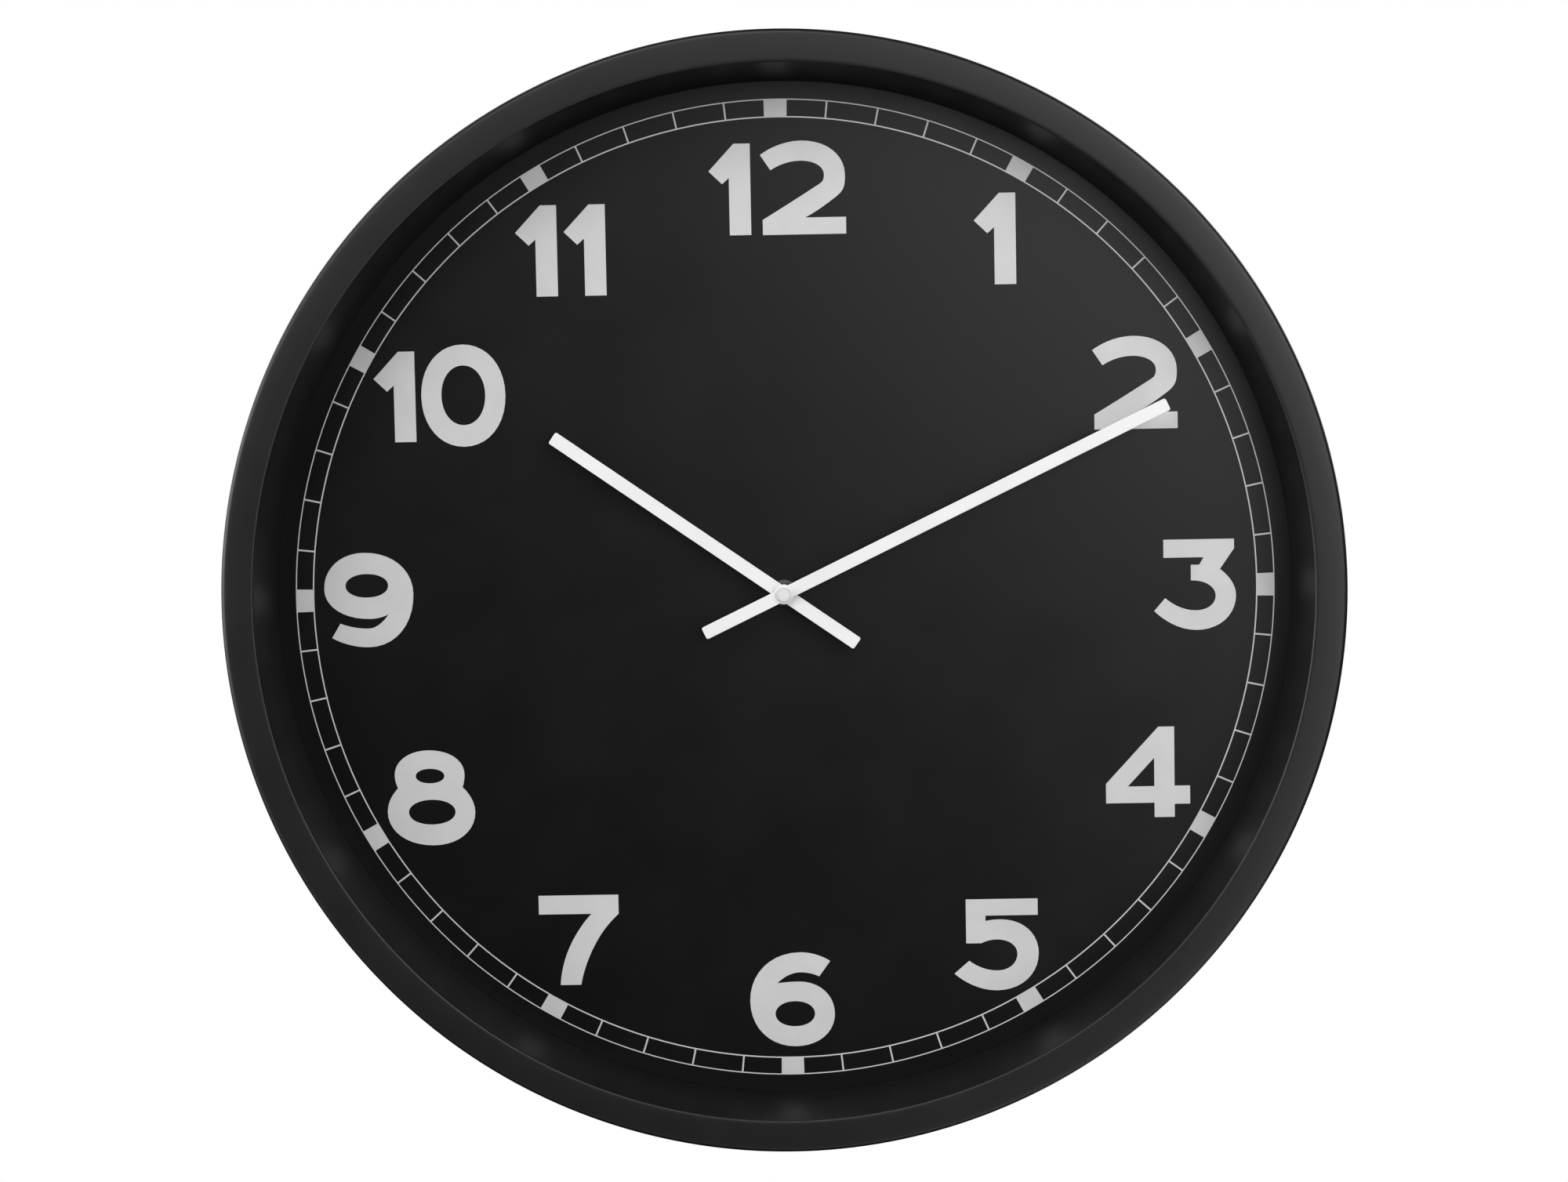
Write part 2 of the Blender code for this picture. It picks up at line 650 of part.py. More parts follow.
def build_minute_arbor():
    front = DIAL_FRONT + MINUTE_HAND_HEIGHT + 1.6 * MM
    low = THIRD_LAYER + 0.9 * MM
    obj = place(
        "minute_arbor",
        gear_mesh(MINUTE_PINION, MOTION_MODULE, WHEEL_THICK),
        BRASS,
        (0, 0, MINUTE_LAYER),
    )
    shaft = cylinder_mesh(ARBOR_RADIUS, front - low)
    combine(obj, shaft, 'UNION', (0, 0, (front + low) / 2 - MINUTE_LAYER))


def build_motion_work():
    """The minute arbor, the hour wheel, the wheel between them and the knob that sets them."""
    build_hour_wheel()
    build_minute_arbor()
    motion_turn = meshed_turn(0.0, MINUTE_PINION, MOTION_WHEEL, MOTION_DIRECTION)
    arbor_piece(
        "motion_wheel",
        WHITE_PLASTIC,
        motion_place(),
        wheel=(MOTION_WHEEL, MOTION_MODULE, motion_turn, MINUTE_LAYER),
        pinion=(MOTION_PINION, MOTION_MODULE, 0.0, HOUR_LAYER - 0.3 * MM),
        arbor=(PIVOT_RADIUS, MINUTE_LAYER - WHEEL_THICK, MOVEMENT_FRONT - FRONT_WALL - GAP),
    )
    setting_turn = meshed_turn(motion_turn, MOTION_WHEEL, SETTING_PINION, SETTING_DIRECTION)
    knob_front = MOVEMENT_REAR - 2 * GAP - COVER_THICK
    knob_thick = 2.4 * MM
    pinion = gear_mesh(SETTING_PINION, MOTION_MODULE, WHEEL_THICK, setting_turn)
    knob = place("setting_knob", pinion, WHITE_PLASTIC, (*setting_place(), MINUTE_LAYER))
    shaft_rear = knob_front - knob_thick / 2
    shaft = cylinder_mesh(1.4 * MM, MINUTE_LAYER - shaft_rear, 12)
    combine(knob, shaft, 'UNION', (0, 0, (shaft_rear - MINUTE_LAYER) / 2))
    grip = flat_mesh([gear_outline(14, 0.8 * MM)], knob_thick)
    combine(knob, grip, 'UNION', (0, 0, shaft_rear - MINUTE_LAYER))


# ---------------------------------------------------------------- movement: going train

def third_place():
    distance = centre_distance(THIRD_MODULE, TRAIN_PINION, THIRD_WHEEL)
    return beside((0, 0), distance, THIRD_DIRECTION)


def intermediate_place():
    distance = centre_distance(TRAIN_MODULE, TRAIN_PINION, SECONDS_WHEEL)
    return beside((0, 0), distance, INTERMEDIATE_DIRECTION)


def rotor_place():
    distance = centre_distance(TRAIN_MODULE, TRAIN_PINION, INTERMEDIATE_WHEEL)
    return beside(intermediate_place(), distance, ROTOR_DIRECTION)


def build_going_train():
    """Rotor, intermediate, seconds, third and centre wheels, each pinion driving the next wheel."""
    centre_module = THIRD_MODULE * (TRAIN_PINION + THIRD_WHEEL) / (TRAIN_PINION + CENTRE_WHEEL)
    centre_turn = meshed_turn(0.0, TRAIN_PINION, CENTRE_WHEEL, THIRD_DIRECTION + math.pi)
    third_turn = meshed_turn(0.0, TRAIN_PINION, THIRD_WHEEL, THIRD_DIRECTION)
    seconds_turn = meshed_turn(0.0, TRAIN_PINION, SECONDS_WHEEL, INTERMEDIATE_DIRECTION + math.pi)
    intermediate_turn = meshed_turn(0.0, TRAIN_PINION, INTERMEDIATE_WHEEL, ROTOR_DIRECTION + math.pi)
    centre = gear_mesh(CENTRE_WHEEL, centre_module, WHEEL_THICK, centre_turn, bore=ARBOR_RADIUS + GAP)
    place("centre_wheel", centre, BRASS, (0, 0, CENTRE_LAYER))
    arbor_piece(
        "third_wheel",
        WHITE_PLASTIC,
        third_place(),
        wheel=(THIRD_WHEEL, THIRD_MODULE, third_turn, THIRD_LAYER),
        pinion=(TRAIN_PINION, centre_module, 0.0, CENTRE_LAYER - 0.1 * MM),
        arbor=(PIVOT_RADIUS, THIRD_LAYER - 5 * MM, CENTRE_LAYER + 3 * MM),
    )
    arbor_piece(
        "seconds_wheel",
        WHITE_PLASTIC,
        (0, 0),
        wheel=(SECONDS_WHEEL, TRAIN_MODULE, seconds_turn, SECONDS_LAYER),
        pinion=(TRAIN_PINION, THIRD_MODULE, 0.0, THIRD_LAYER - 0.3 * MM),
        arbor=(PIVOT_RADIUS, MOVEMENT_REAR + 0.5 * MM, THIRD_LAYER + 0.5 * MM),
    )
    arbor_piece(
        "intermediate_wheel",
        WHITE_PLASTIC,
        intermediate_place(),
        wheel=(INTERMEDIATE_WHEEL, TRAIN_MODULE, intermediate_turn, ROTOR_LAYER),
        pinion=(TRAIN_PINION, TRAIN_MODULE, 0.0, SECONDS_LAYER - 0.2 * MM),
        arbor=(PIVOT_RADIUS, MOVEMENT_REAR + 0.5 * MM, SECONDS_LAYER + 2 * MM),
    )
    build_rotor()


def build_rotor():
    """The two-pole magnet on its arbor, with the first pinion of the train."""
    magnet_mid = SECONDS_LAYER + 0.3 * MM
    rotor = place("rotor", cylinder_mesh(2.9 * MM, 3 * MM), MAGNET, (*rotor_place(), magnet_mid))
    pinion = gear_mesh(TRAIN_PINION, TRAIN_MODULE, PINION_THICK)
    combine(rotor, pinion, 'UNION', (0, 0, ROTOR_LAYER - magnet_mid + 0.1 * MM))
    low = MOVEMENT_REAR + 1.2 * MM
    high = CENTRE_LAYER
    shaft = cylinder_mesh(PIVOT_RADIUS, high - low, SMALL_STEPS)
    combine(rotor, shaft, 'UNION', (0, 0, (low + high) / 2 - magnet_mid))


# ---------------------------------------------------------------- movement: motor and electronics

def build_motor():
    """Stator plate round the rotor, closed by the core that runs through the coil."""
    left = -16 * MM
    right = 13 * MM
    low = 10.4 * MM
    window_low = 18.2 * MM
    high = 25.6 * MM
    leg = 3.5 * MM
    rotor_x, rotor_y = rotor_place()
    outline = [
        (left, low),
        (right, low),
        (right, high),
        (right - leg, high),
        (right - leg, window_low),
        (left + leg, window_low),
        (left + leg, high),
        (left, high),
    ]
    plate_thick = 1.0 * MM
    stator = flat_mesh([outline, circle(rotor_x, rotor_y, 3.5 * MM, 20)], plate_thick)
    place("stator", stator, ZINC_STEEL, (0, 0, SECONDS_LAYER))
    core_y = 22.3 * MM
    core_height = SECONDS_LAYER + plate_thick + GAP
    core_mid = (left + right) / 2
    core = box_mesh(right - left, 2.8 * MM, plate_thick)
    place("coil_core", core, ZINC_STEEL, (core_mid, core_y, core_height))
    half_length = (right - left) / 2 - leg - 0.6 * MM
    build_coil((core_mid, core_y, core_height), half_length)


def build_coil(location, half_length):
    cheek = 0.8 * MM
    bore = 1.9 * MM
    tube = 2.4 * MM
    flange = 3.8 * MM
    bobbin_profile = [
        (bore, half_length),
        (flange, half_length),
        (flange, half_length - cheek),
        (tube, half_length - cheek),
        (tube, cheek - half_length),
        (flange, cheek - half_length),
        (flange, -half_length),
        (bore, -half_length),
    ]
    winding_half = half_length - cheek - GAP
    winding_profile = [
        (tube + GAP, winding_half),
        (flange - 0.3 * MM, winding_half),
        (flange - 0.3 * MM, -winding_half),
        (tube + GAP, -winding_half),
    ]
    bobbin = turned("coil_bobbin", bobbin_profile, WHITE_PLASTIC, location, steps=16, closed=True)
    winding = turned("coil_winding", winding_profile, COPPER, location, steps=16, closed=True)
    for piece in (bobbin, winding):
        piece.rotation_euler = (0, math.radians(90), 0)


def build_circuit():
    board_height = 8.3 * MM
    board_thick = 0.8 * MM
    board = [rectangle(-25 * MM, 15.6 * MM, 25 * MM, 26.2 * MM)]
    place("circuit_board", flat_mesh(board, board_thick), GREEN_BOARD, (0, 0, board_height))
    front = board_height + board_thick / 2 + GAP
    crystal_radius = 1.0 * MM
    crystal = cylinder_mesh(crystal_radius, 6 * MM, 12)
    crystal_place = (-20.5 * MM, 20 * MM, front + crystal_radius)
    crystal_piece = place("quartz_crystal", crystal, ZINC_STEEL, crystal_place)
    crystal_piece.rotation_euler = (math.radians(90), 0, 0)
    dome = [(0, 1.2 * MM), (1.6 * MM, 0.9 * MM), (2.4 * MM, 0), (0, 0)]
    turned("driver_chip", dome, BLACK_PLASTIC, (19 * MM, 21 * MM, front), steps=12)


def build_battery():
    """The cell lies across the foot of the movement and lifts straight out towards the wall side."""
    battery_y = (BAY_TOP - MOVEMENT_HALF + MOVEMENT_WALL) / 2
    height = MOVEMENT_FRONT - FRONT_WALL - 0.4 * MM - BATTERY_RADIUS
    half = BATTERY_LENGTH / 2
    nub_radius = 2.6 * MM
    nub = 1.2 * MM
    bead = 0.6 * MM
    profile = [
        (0, half + nub),
        (nub_radius, half + nub),
        (nub_radius, half),
        (BATTERY_RADIUS - bead, half),
        (BATTERY_RADIUS, half - bead),
        (BATTERY_RADIUS, bead - half),
        (BATTERY_RADIUS - bead, -half),
        (0, -half),
    ]
    battery = turned("battery", profile, BATTERY_JACKET, (0.1 * MM, battery_y, height), steps=20)
    battery.rotation_euler = (0, math.radians(90), 0)
    build_contacts(battery_y)


def build_contacts(battery_y):
    """A flat positive contact and a bowed negative one, each with a strip up to the circuit board."""
    inner = MOVEMENT_HALF - MOVEMENT_WALL
    strip = 0.35 * MM
    rear = MOVEMENT_REAR + 0.5 * MM
    for name, side in (("negative_contact", -1), ("positive_contact", 1)):
        x = side * (inner - GAP - strip / 2)
        plate_height = 9 * MM
        plate = box_mesh(strip, 10 * MM, plate_height)
        contact = place(name, plate, ZINC_STEEL, (x, battery_y, rear + plate_height / 2))
        reach = 19 * MM - battery_y
        rise = box_mesh(strip, reach, 2 * MM)
        combine(contact, rise, 'UNION', (0, reach / 2, 1 * MM - plate_height / 2))
        if side < 0:
            bow = flat_mesh([bowed_strip(1.1 * MM, 7 * MM, strip)], 5 * MM)
            combine(contact, bow, 'UNION', (strip / 2, 0, 0))


def bowed_strip(rise, length, thick):
    """A strip sprung out sideways in a shallow arch, with its ends on the line x = 0."""
    radius = (length ** 2 / 4 + rise ** 2) / (2 * rise)
    half_angle = math.degrees(math.asin(length / 2 / radius))
    centre = rise - radius
    outer = arc(centre, 0, radius, -half_angle, half_angle, 6)
    inner = arc(centre, 0, radius - thick, half_angle, -half_angle, 6)
    return outer + inner


def build_clock():
    build_case()
    build_dial()
    build_brackets()
    build_back_board()
    build_movement_box()
    build_bush()
    build_motion_work()
    build_going_train()
    build_motor()
    build_circuit()
    build_battery()
    build_hands()
    bpy.context.view_layer.update()


build_clock()
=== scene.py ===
"""Looks of a round wall clock, 603 mm across: a deep black spun-steel case, a black dial with pale
printed numerals, white bar hands, and a pressed back board round a battery movement.

The clock's own frame has +X to the right, +Y up and height out of the wall along the arbor of the
hands. Pieces are drawn in that frame and CLOCK_TO_WORLD takes them to the frame of the CAD model.
"""

import json
import math

import bmesh
import bpy
from mathutils import Euler, Matrix, Vector


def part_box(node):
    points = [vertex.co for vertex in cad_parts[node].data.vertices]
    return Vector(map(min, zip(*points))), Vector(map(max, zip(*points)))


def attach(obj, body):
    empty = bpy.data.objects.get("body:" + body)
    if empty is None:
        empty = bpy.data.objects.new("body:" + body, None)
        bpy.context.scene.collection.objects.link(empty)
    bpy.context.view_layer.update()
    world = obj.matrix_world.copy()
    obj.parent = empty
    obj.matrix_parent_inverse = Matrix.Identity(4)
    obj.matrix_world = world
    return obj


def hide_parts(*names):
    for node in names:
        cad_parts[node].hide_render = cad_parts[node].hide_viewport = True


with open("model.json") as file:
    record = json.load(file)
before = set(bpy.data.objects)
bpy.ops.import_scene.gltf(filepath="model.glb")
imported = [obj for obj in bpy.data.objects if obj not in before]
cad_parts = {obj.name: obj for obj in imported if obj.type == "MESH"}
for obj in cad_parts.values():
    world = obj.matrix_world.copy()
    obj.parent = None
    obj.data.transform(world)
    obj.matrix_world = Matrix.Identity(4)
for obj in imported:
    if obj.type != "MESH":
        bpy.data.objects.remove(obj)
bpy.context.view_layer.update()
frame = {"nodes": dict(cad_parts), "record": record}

MM = 0.001
HANG_HEIGHT = 255 * MM          # from the arbor up to the hang point, which is the world origin
CLOCK_TO_WORLD = Matrix(((1, 0, 0, 0), (0, 0, -1, 0), (0, 1, 0, -HANG_HEIGHT), (0, 0, 0, 1)))
ROOT = "clock_body"
RIGHT, UP, LEFT, DOWN = 0, 90, 180, 270

# Case, with heights above the wall plane
CASE_RADIUS = 301.5 * MM
CASE_DEPTH = 66 * MM
SHEET = 1.2 * MM
LIP_RADIUS = 283.8 * MM
LIP_CORNER = 1.5 * MM
FRONT_CORNER = 3 * MM
FACE_EDGE_DROP = 0.2 * MM       # from the crown of the front face down to its edges
FOOT_RADIUS = 278 * MM
FOOT_CORNER = 1.0 * MM
REAR_FLANGE_RADIUS = 294 * MM
DIAL_FLANGE_RADIUS = 288 * MM
REAR_CORNER = 1.2 * MM
FLANGE_GAP = 0.3 * MM           # between the dial's front and the case's inner flange
CASE_STEPS = 288
DIAL_RADIUS = 287.4 * MM
BUSH_HOLE = 4.2 * MM

# Printing on the dial
INK_THICK = 0.05 * MM
INNER_RING = 258.75 * MM
OUTER_RING = 268.2 * MM
INNER_LINE = 0.7 * MM
OUTER_LINE = 0.6 * MM
TICK_WIDTH = 0.9 * MM
HOUR_BLOCK_WIDTH = 12.4 * MM
ROUNDNESS = 0.58                # how far a numeral's curves reach towards a square corner

# Hands
MINUTE_LENGTH = 232 * MM
MINUTE_WIDTH = 7.0 * MM
HOUR_LENGTH = 152 * MM
HOUR_WIDTH = 7.3 * MM
HAND_TAIL = 48.4 * MM
HAND_CORNER = 1.1 * MM
HAND_BEVEL = 0.22 * MM
BOSS_RADIUS = 5.3 * MM
MINUTE_ANGLE = 64.55            # degrees clockwise from 12
HOUR_ANGLE = 305.1
ARBOR_HOLE = 1.75 * MM
TUBE_HOLE = 2.85 * MM

# Back of the clock
BOARD_RADIUS = 293 * MM
BOARD_WINDOW = 48 * MM          # half the width of the opening behind the movement
POCKET_HALF = 14 * MM           # the pocket behind the keyhole: half its width, and its
POCKET_BELOW = 22 * MM          # reach below and above the hang point
POCKET_ABOVE = 8 * MM
SCREW_HOLE = 2.0 * MM
KEYHOLE_ENTRY = 5.2 * MM
KEYHOLE_SLOT_HALF = 2.7 * MM
KEYHOLE_TRAVEL = 13 * MM        # from the middle of the entry up to the hang point
PLATE_CORNER = 4 * MM
SCREWED_TO_BOARD = [f"back_screw_{i}" for i in range(1, 5)] + ["hanger_screw_1", "hanger_screw_2"]
SCREW_TURN = 23                 # degrees that each screw's cross is turned on from the last

# Movement
COVER_RELIEF = 0.35 * MM        # how far the rim and collar stand out of the rear cover
LUG_RELIEF = 0.6 * MM
RELIEF_ROOT = 0.1 * MM          # how far they are sunk into it
LUG_SPACING = 18 * MM
LUG_HALF_WIDTH = 2.5 * MM

# Camera, floor and lights
FOCAL_LENGTH = 66.64            # in millimetres, like the sensor's width
SENSOR_WIDTH = 36
CAMERA_TILT = (4.18, -0.83, 1.0)    # degrees between the camera's axes and the clock's own
CAMERA_DISTANCE = 1592.6 * MM   # from the front of the dial
CAMERA_OFFSET = (-2.63 * MM, -0.84 * MM)    # where the arbor stands in the camera's frame
CAMERA_SHIFT = -0.00315
FLOOR_DROP = 1.7                # from the hang point down to the floor
FLOOR_HALF = 3.4
FLOOR_GLOW = 0.35               # lifts the floor to a pale grey without lighting the clock
AMBIENT = 0.02
FRONT_SOFTBOX = (2.6, 1.1)      # distance from the arbor and width, in metres
BACK_SOFTBOX = (2.8, 2.4)

# Softboxes: name, degrees to the right of straight in front, degrees above level, power in watts
SOFTBOXES = [
    ("far_left", -80, 5, 34),
    ("front_right", 35, 25, 23),
    ("top", -12, 50, 19.5),
    ("left", -57, 0, 10.5),
    ("upper_left", -57, 25, 9),
    ("front_left", -35, 25, 10),
    ("right", 35, 0, 9),
    ("far_right_low", 80, -50, 6),
    ("lower_left", -57, -25, 3),
    ("lower_right", 35, -25, 8),
    ("front", 12, 12, 6.5),
    ("below_right", 24, -50, 6.5),
    ("below_left", -24, -50, 3),
    ("back_left", -140, 25, 50),
    ("back_right", 140, 25, 50),
]


# ---------------------------------------------------------------- outlines

def arc(centre_x, centre_y, radius, start, end, steps):
    """Points along an arc, from one angle to another in degrees, counterclockwise from +X."""
    points = []
    for step in range(steps + 1):
        angle = math.radians(start + (end - start) * step / steps)
        points.append((centre_x + radius * math.cos(angle), centre_y + radius * math.sin(angle)))
    return points


def circle(centre_x, centre_y, radius, steps=48):
    return arc(centre_x, centre_y, radius, 0, 360, steps)[:-1]


def rectangle(low_x, low_y, high_x, high_y):
    return [(low_x, low_y), (high_x, low_y), (high_x, high_y), (low_x, high_y)]


def rounded_rectangle(low_x, low_y, high_x, high_y, radius, steps=6):
    points = arc(high_x - radius, high_y - radius, radius, 0, 90, steps)
    points += arc(low_x + radius, high_y - radius, radius, 90, 180, steps)
    points += arc(low_x + radius, low_y + radius, radius, 180, 270, steps)
    points += arc(high_x - radius, low_y + radius, radius, 270, 360, steps)
    return points


# ---------------------------------------------------------------- meshes

def solid_mesh(bm, name, sharp_degrees=32):
    """The bmesh as a smooth-shaded mesh whose edges above an angle stay sharp."""
    bmesh.ops.recalc_face_normals(bm, faces=bm.faces)
    mesh = bpy.data.meshes.new(name)
    bm.to_mesh(mesh)
    bm.free()
    mesh.shade_smooth()
    mesh.set_sharp_from_angle(angle=math.radians(sharp_degrees))
    return mesh


def plate(name, outlines, low, high, bevel=0.0, bevel_steps=2):
    """A flat piece between two heights: the first outline is its edge and the rest are holes."""
    curve = bpy.data.curves.new(name, 'CURVE')
    curve.dimensions = '2D'
    curve.fill_mode = 'BOTH'
    curve.extrude = (high - low) / 2 - bevel
    curve.bevel_depth = bevel
    curve.bevel_resolution = bevel_steps
    curve.offset = -bevel
    for outline in outlines:
        spline = curve.splines.new('POLY')
        spline.points.add(len(outline) - 1)
        for point, (x, y) in zip(spline.points, outline):
            point.co = (x, y, 0, 1)
        spline.use_cyclic_u = True
    guide = bpy.data.objects.new(name, curve)
    bpy.context.scene.collection.objects.link(guide)
    graph = bpy.context.evaluated_depsgraph_get()
    drawn = bpy.data.meshes.new_from_object(guide.evaluated_get(graph))
    bpy.data.objects.remove(guide, do_unlink=True)
    bpy.data.curves.remove(curve)
    bm = bmesh.new()
    bm.from_mesh(drawn)
    bpy.data.meshes.remove(drawn)
    bmesh.ops.remove_doubles(bm, verts=bm.verts, dist=0.001 * MM)
    bmesh.ops.translate(bm, verts=bm.verts, vec=(0, 0, (low + high) / 2))
    return level_faces_flat(solid_mesh(bm, name))


def level_faces_flat(mesh, least_area=4 * MM ** 2):
    """Shade the faces that lie square to an axis flat, so that rounded edges don't bend them."""
    bm = bmesh.new()
    bm.from_mesh(mesh)
    bm.normal_update()
    for edge in bm.edges:
        level = [
            max(abs(part) for part in face.normal) > 0.9999 and face.calc_area() > least_area
            for face in edge.link_faces
        ]
        if any(level) and not all(level):
            edge.smooth = False
    bm.to_mesh(mesh)
    bm.free()
    return mesh


def turned(name, profile, steps=64, sharp_degrees=32):
    """A closed profile of (radius, height) points turned about the height axis."""
    bm = bmesh.new()
    rings = []
    for step in range(steps):
        angle = math.tau * step / steps
        ring = [bm.verts.new((r * math.cos(angle), r * math.sin(angle), h)) for r, h in profile]
        rings.append(ring)
    count = len(profile)
    for step in range(steps):
        here, after = rings[step], rings[(step + 1) % steps]
        for i in range(count):
            k = (i + 1) % count
            bm.faces.new((here[i], here[k], after[k], after[i]))
    bmesh.ops.remove_doubles(bm, verts=bm.verts, dist=0.0005 * MM)
    return solid_mesh(bm, name, sharp_degrees)


def joined(name, meshes):
    """Several meshes as one."""
    bm = bmesh.new()
    for mesh in meshes:
        bm.from_mesh(mesh)
        bpy.data.meshes.remove(mesh)
    return solid_mesh(bm, name)


def moved(mesh, location=(0, 0, 0), turn=0.0):
    """The mesh turned clockwise by so many degrees, then moved, in the clock's own frame."""
    mesh.transform(Matrix.Translation(location) @ Matrix.Rotation(math.radians(-turn), 4, 'Z'))
    return mesh


def cut(mesh, cutter):
    """The mesh with the cutter's volume taken out of it."""
    target = bpy.data.objects.new("target", mesh)
    tool = bpy.data.objects.new("tool", cutter)
    bpy.context.scene.collection.objects.link(target)
    bpy.context.scene.collection.objects.link(tool)
    boolean = target.modifiers.new("cut", 'BOOLEAN')
    boolean.operation = 'DIFFERENCE'
    boolean.solver = 'EXACT'
    boolean.object = tool
    graph = bpy.context.evaluated_depsgraph_get()
    drawn = bpy.data.meshes.new_from_object(target.evaluated_get(graph))
    bpy.data.objects.remove(target, do_unlink=True)
    bpy.data.objects.remove(tool, do_unlink=True)
    bm = bmesh.new()
    bm.from_mesh(drawn)
    return solid_mesh(bm, drawn.name)


def piece(name, mesh, material, body, replaces=(), in_world=False):
    """Show a mesh as a named piece that rides on a CAD body."""
    if not in_world:
        mesh.transform(CLOCK_TO_WORLD)
    mesh.materials.clear()
    mesh.materials.append(material)
    obj = bpy.data.objects.new(name, mesh)
    bpy.context.scene.collection.objects.link(obj)
    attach(obj, body)
    if replaces:
        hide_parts(*replaces)


def eased_copy(node, width, steps=2):
    """A copy of a CAD node's mesh, in world coordinates, with its sharp edges rounded over."""
    bm = bmesh.new()
    bm.from_mesh(frame["nodes"][node].data)
    bmesh.ops.remove_doubles(bm, verts=bm.verts, dist=0.002 * MM)
    bmesh.ops.dissolve_limit(bm, angle_limit=math.radians(1), verts=bm.verts, edges=bm.edges)
    sharp = [
        edge for edge in bm.edges
        if len(edge.link_faces) == 2 and edge.calc_face_angle(0.0) > math.radians(40)
    ]
    bmesh.ops.bevel(
        bm, geom=sharp, offset=width, offset_type='OFFSET', segments=steps,
        profile=0.5, affect='EDGES', clamp_overlap=True,
    )
    return level_faces_flat(solid_mesh(bm, node + "_eased"))


def box_radius(node):
    """Half the width of a CAD node's box."""
    low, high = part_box(node)
    return (high.x - low.x) / 2


def middle(node):
    """Where a CAD node's box has its middle, as x and y in the clock's own frame."""
    low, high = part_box(node)
    return (low.x + high.x) / 2, (low.z + high.z) / 2 + HANG_HEIGHT


def rear_and_front(node):
    """The heights of a CAD node's two ends above the wall plane."""
    low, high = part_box(node)
    return -high.y, -low.y


# ---------------------------------------------------------------- materials

def add_noise(tree, scale, detail=2.0, stretch=(1, 1, 1), roughness=0.5):
    """Noise over the piece's own coordinates; scale is in waves to the metre."""
    nodes, links = tree.nodes, tree.links
    place = nodes.get("Place") or nodes.new("ShaderNodeTexCoord")
    place.name = "Place"
    mapping = nodes.new("ShaderNodeMapping")
    mapping.inputs["Scale"].default_value = stretch
    noise = nodes.new("ShaderNodeTexNoise")
    noise.inputs["Scale"].default_value = scale
    noise.inputs["Detail"].default_value = detail
    noise.inputs["Roughness"].default_value = roughness
    links.new(place.outputs["Object"], mapping.inputs["Vector"])
    links.new(mapping.outputs["Vector"], noise.inputs["Vector"])
    return noise.outputs["Fac"]


def add_range(tree, value, low, high, from_low=0.3, from_high=0.7):
    """The value spread over a new range."""
    spread = tree.nodes.new("ShaderNodeMapRange")
    spread.inputs["From Min"].default_value = from_low
    spread.inputs["From Max"].default_value = from_high
    spread.inputs["To Min"].default_value = low
    spread.inputs["To Max"].default_value = high
    tree.links.new(value, spread.inputs["Value"])
    return spread.outputs["Result"]


def add_mix(tree, value, first, second):
    """A colour between two others; each is a colour or the socket of another node."""
    mix = tree.nodes.new("ShaderNodeMix")
    mix.data_type = 'RGBA'
    for name, colour in (("A", first), ("B", second)):
        socket = [s for s in mix.inputs if s.name == name and s.type == 'RGBA'][0]
        if isinstance(colour, tuple):
            socket.default_value = (*colour, 1.0)
        else:
            tree.links.new(colour, socket)
    tree.links.new(value, mix.inputs["Factor"])
    return [s for s in mix.outputs if s.type == 'RGBA'][0]


def add_bump(tree, value, depth, below=None):
    """Bump of a depth in metres, laid over another bump if there is one."""
    bump = tree.nodes.new("ShaderNodeBump")
    bump.inputs["Strength"].default_value = 1.0
    bump.inputs["Distance"].default_value = depth
    tree.links.new(value, bump.inputs["Height"])
    if below:
        tree.links.new(below, bump.inputs["Normal"])
    return bump.outputs["Normal"]


def finish_material(
    name, colours, roughness, *, metallic=0.0, specular=0.5, blotch=6.0, grain=900.0,
    grain_depth=0.004 * MM, stretch=(1, 1, 1), rough_scale=40.0, coat=0.0, subsurface=0.0,
):
    """A surface whose colour, roughness and relief all vary: colours and roughness are pairs."""
    material = bpy.data.materials.new(name)
    material.use_nodes = True
    tree = material.node_tree
    shader = tree.nodes["Principled BSDF"]
    shader.inputs["Metallic"].default_value = metallic
    shader.inputs["Specular IOR Level"].default_value = specular
    shader.inputs["Coat Weight"].default_value = coat
    shader.inputs["Subsurface Weight"].default_value = subsurface
    shader.inputs["Subsurface Scale"].default_value = 1.0 * MM
    cloud = add_noise(tree, blotch, detail=4.0, stretch=stretch)
    fine = add_noise(tree, grain, detail=2.0, stretch=stretch)
    wipe = add_noise(tree, rough_scale, detail=3.0, stretch=stretch)
    colour = add_mix(tree, add_range(tree, cloud, 0.0, 1.0), *colours)
    tree.links.new(colour, shader.inputs["Base Color"])
    tree.links.new(add_range(tree, wipe, *roughness), shader.inputs["Roughness"])
    tree.links.new(add_bump(tree, fine, grain_depth), shader.inputs["Normal"])
    return material


def pressed_board_material():
    """Brown fibreboard: fine fibres, darker flecks and a faintly waxed face."""
    material = finish_material(
        "pressed_board", ((0.21, 0.125, 0.068), (0.29, 0.185, 0.11)), (0.55, 0.75),
        blotch=14.0, grain=1400.0, grain_depth=0.03 * MM, rough_scale=60.0, specular=0.35,
    )
    tree = material.node_tree
    shader = tree.nodes["Principled BSDF"]
    base = shader.inputs["Base Color"].links[0].from_socket
    fibres = add_noise(tree, 420.0, detail=6.0, stretch=(1.0, 1.0, 2.2), roughness=0.7)
    flecks = add_range(tree, fibres, 0.0, 0.75, 0.56, 0.72)
    tree.links.new(add_mix(tree, flecks, base, (0.07, 0.036, 0.018)), shader.inputs["Base Color"])
    return material


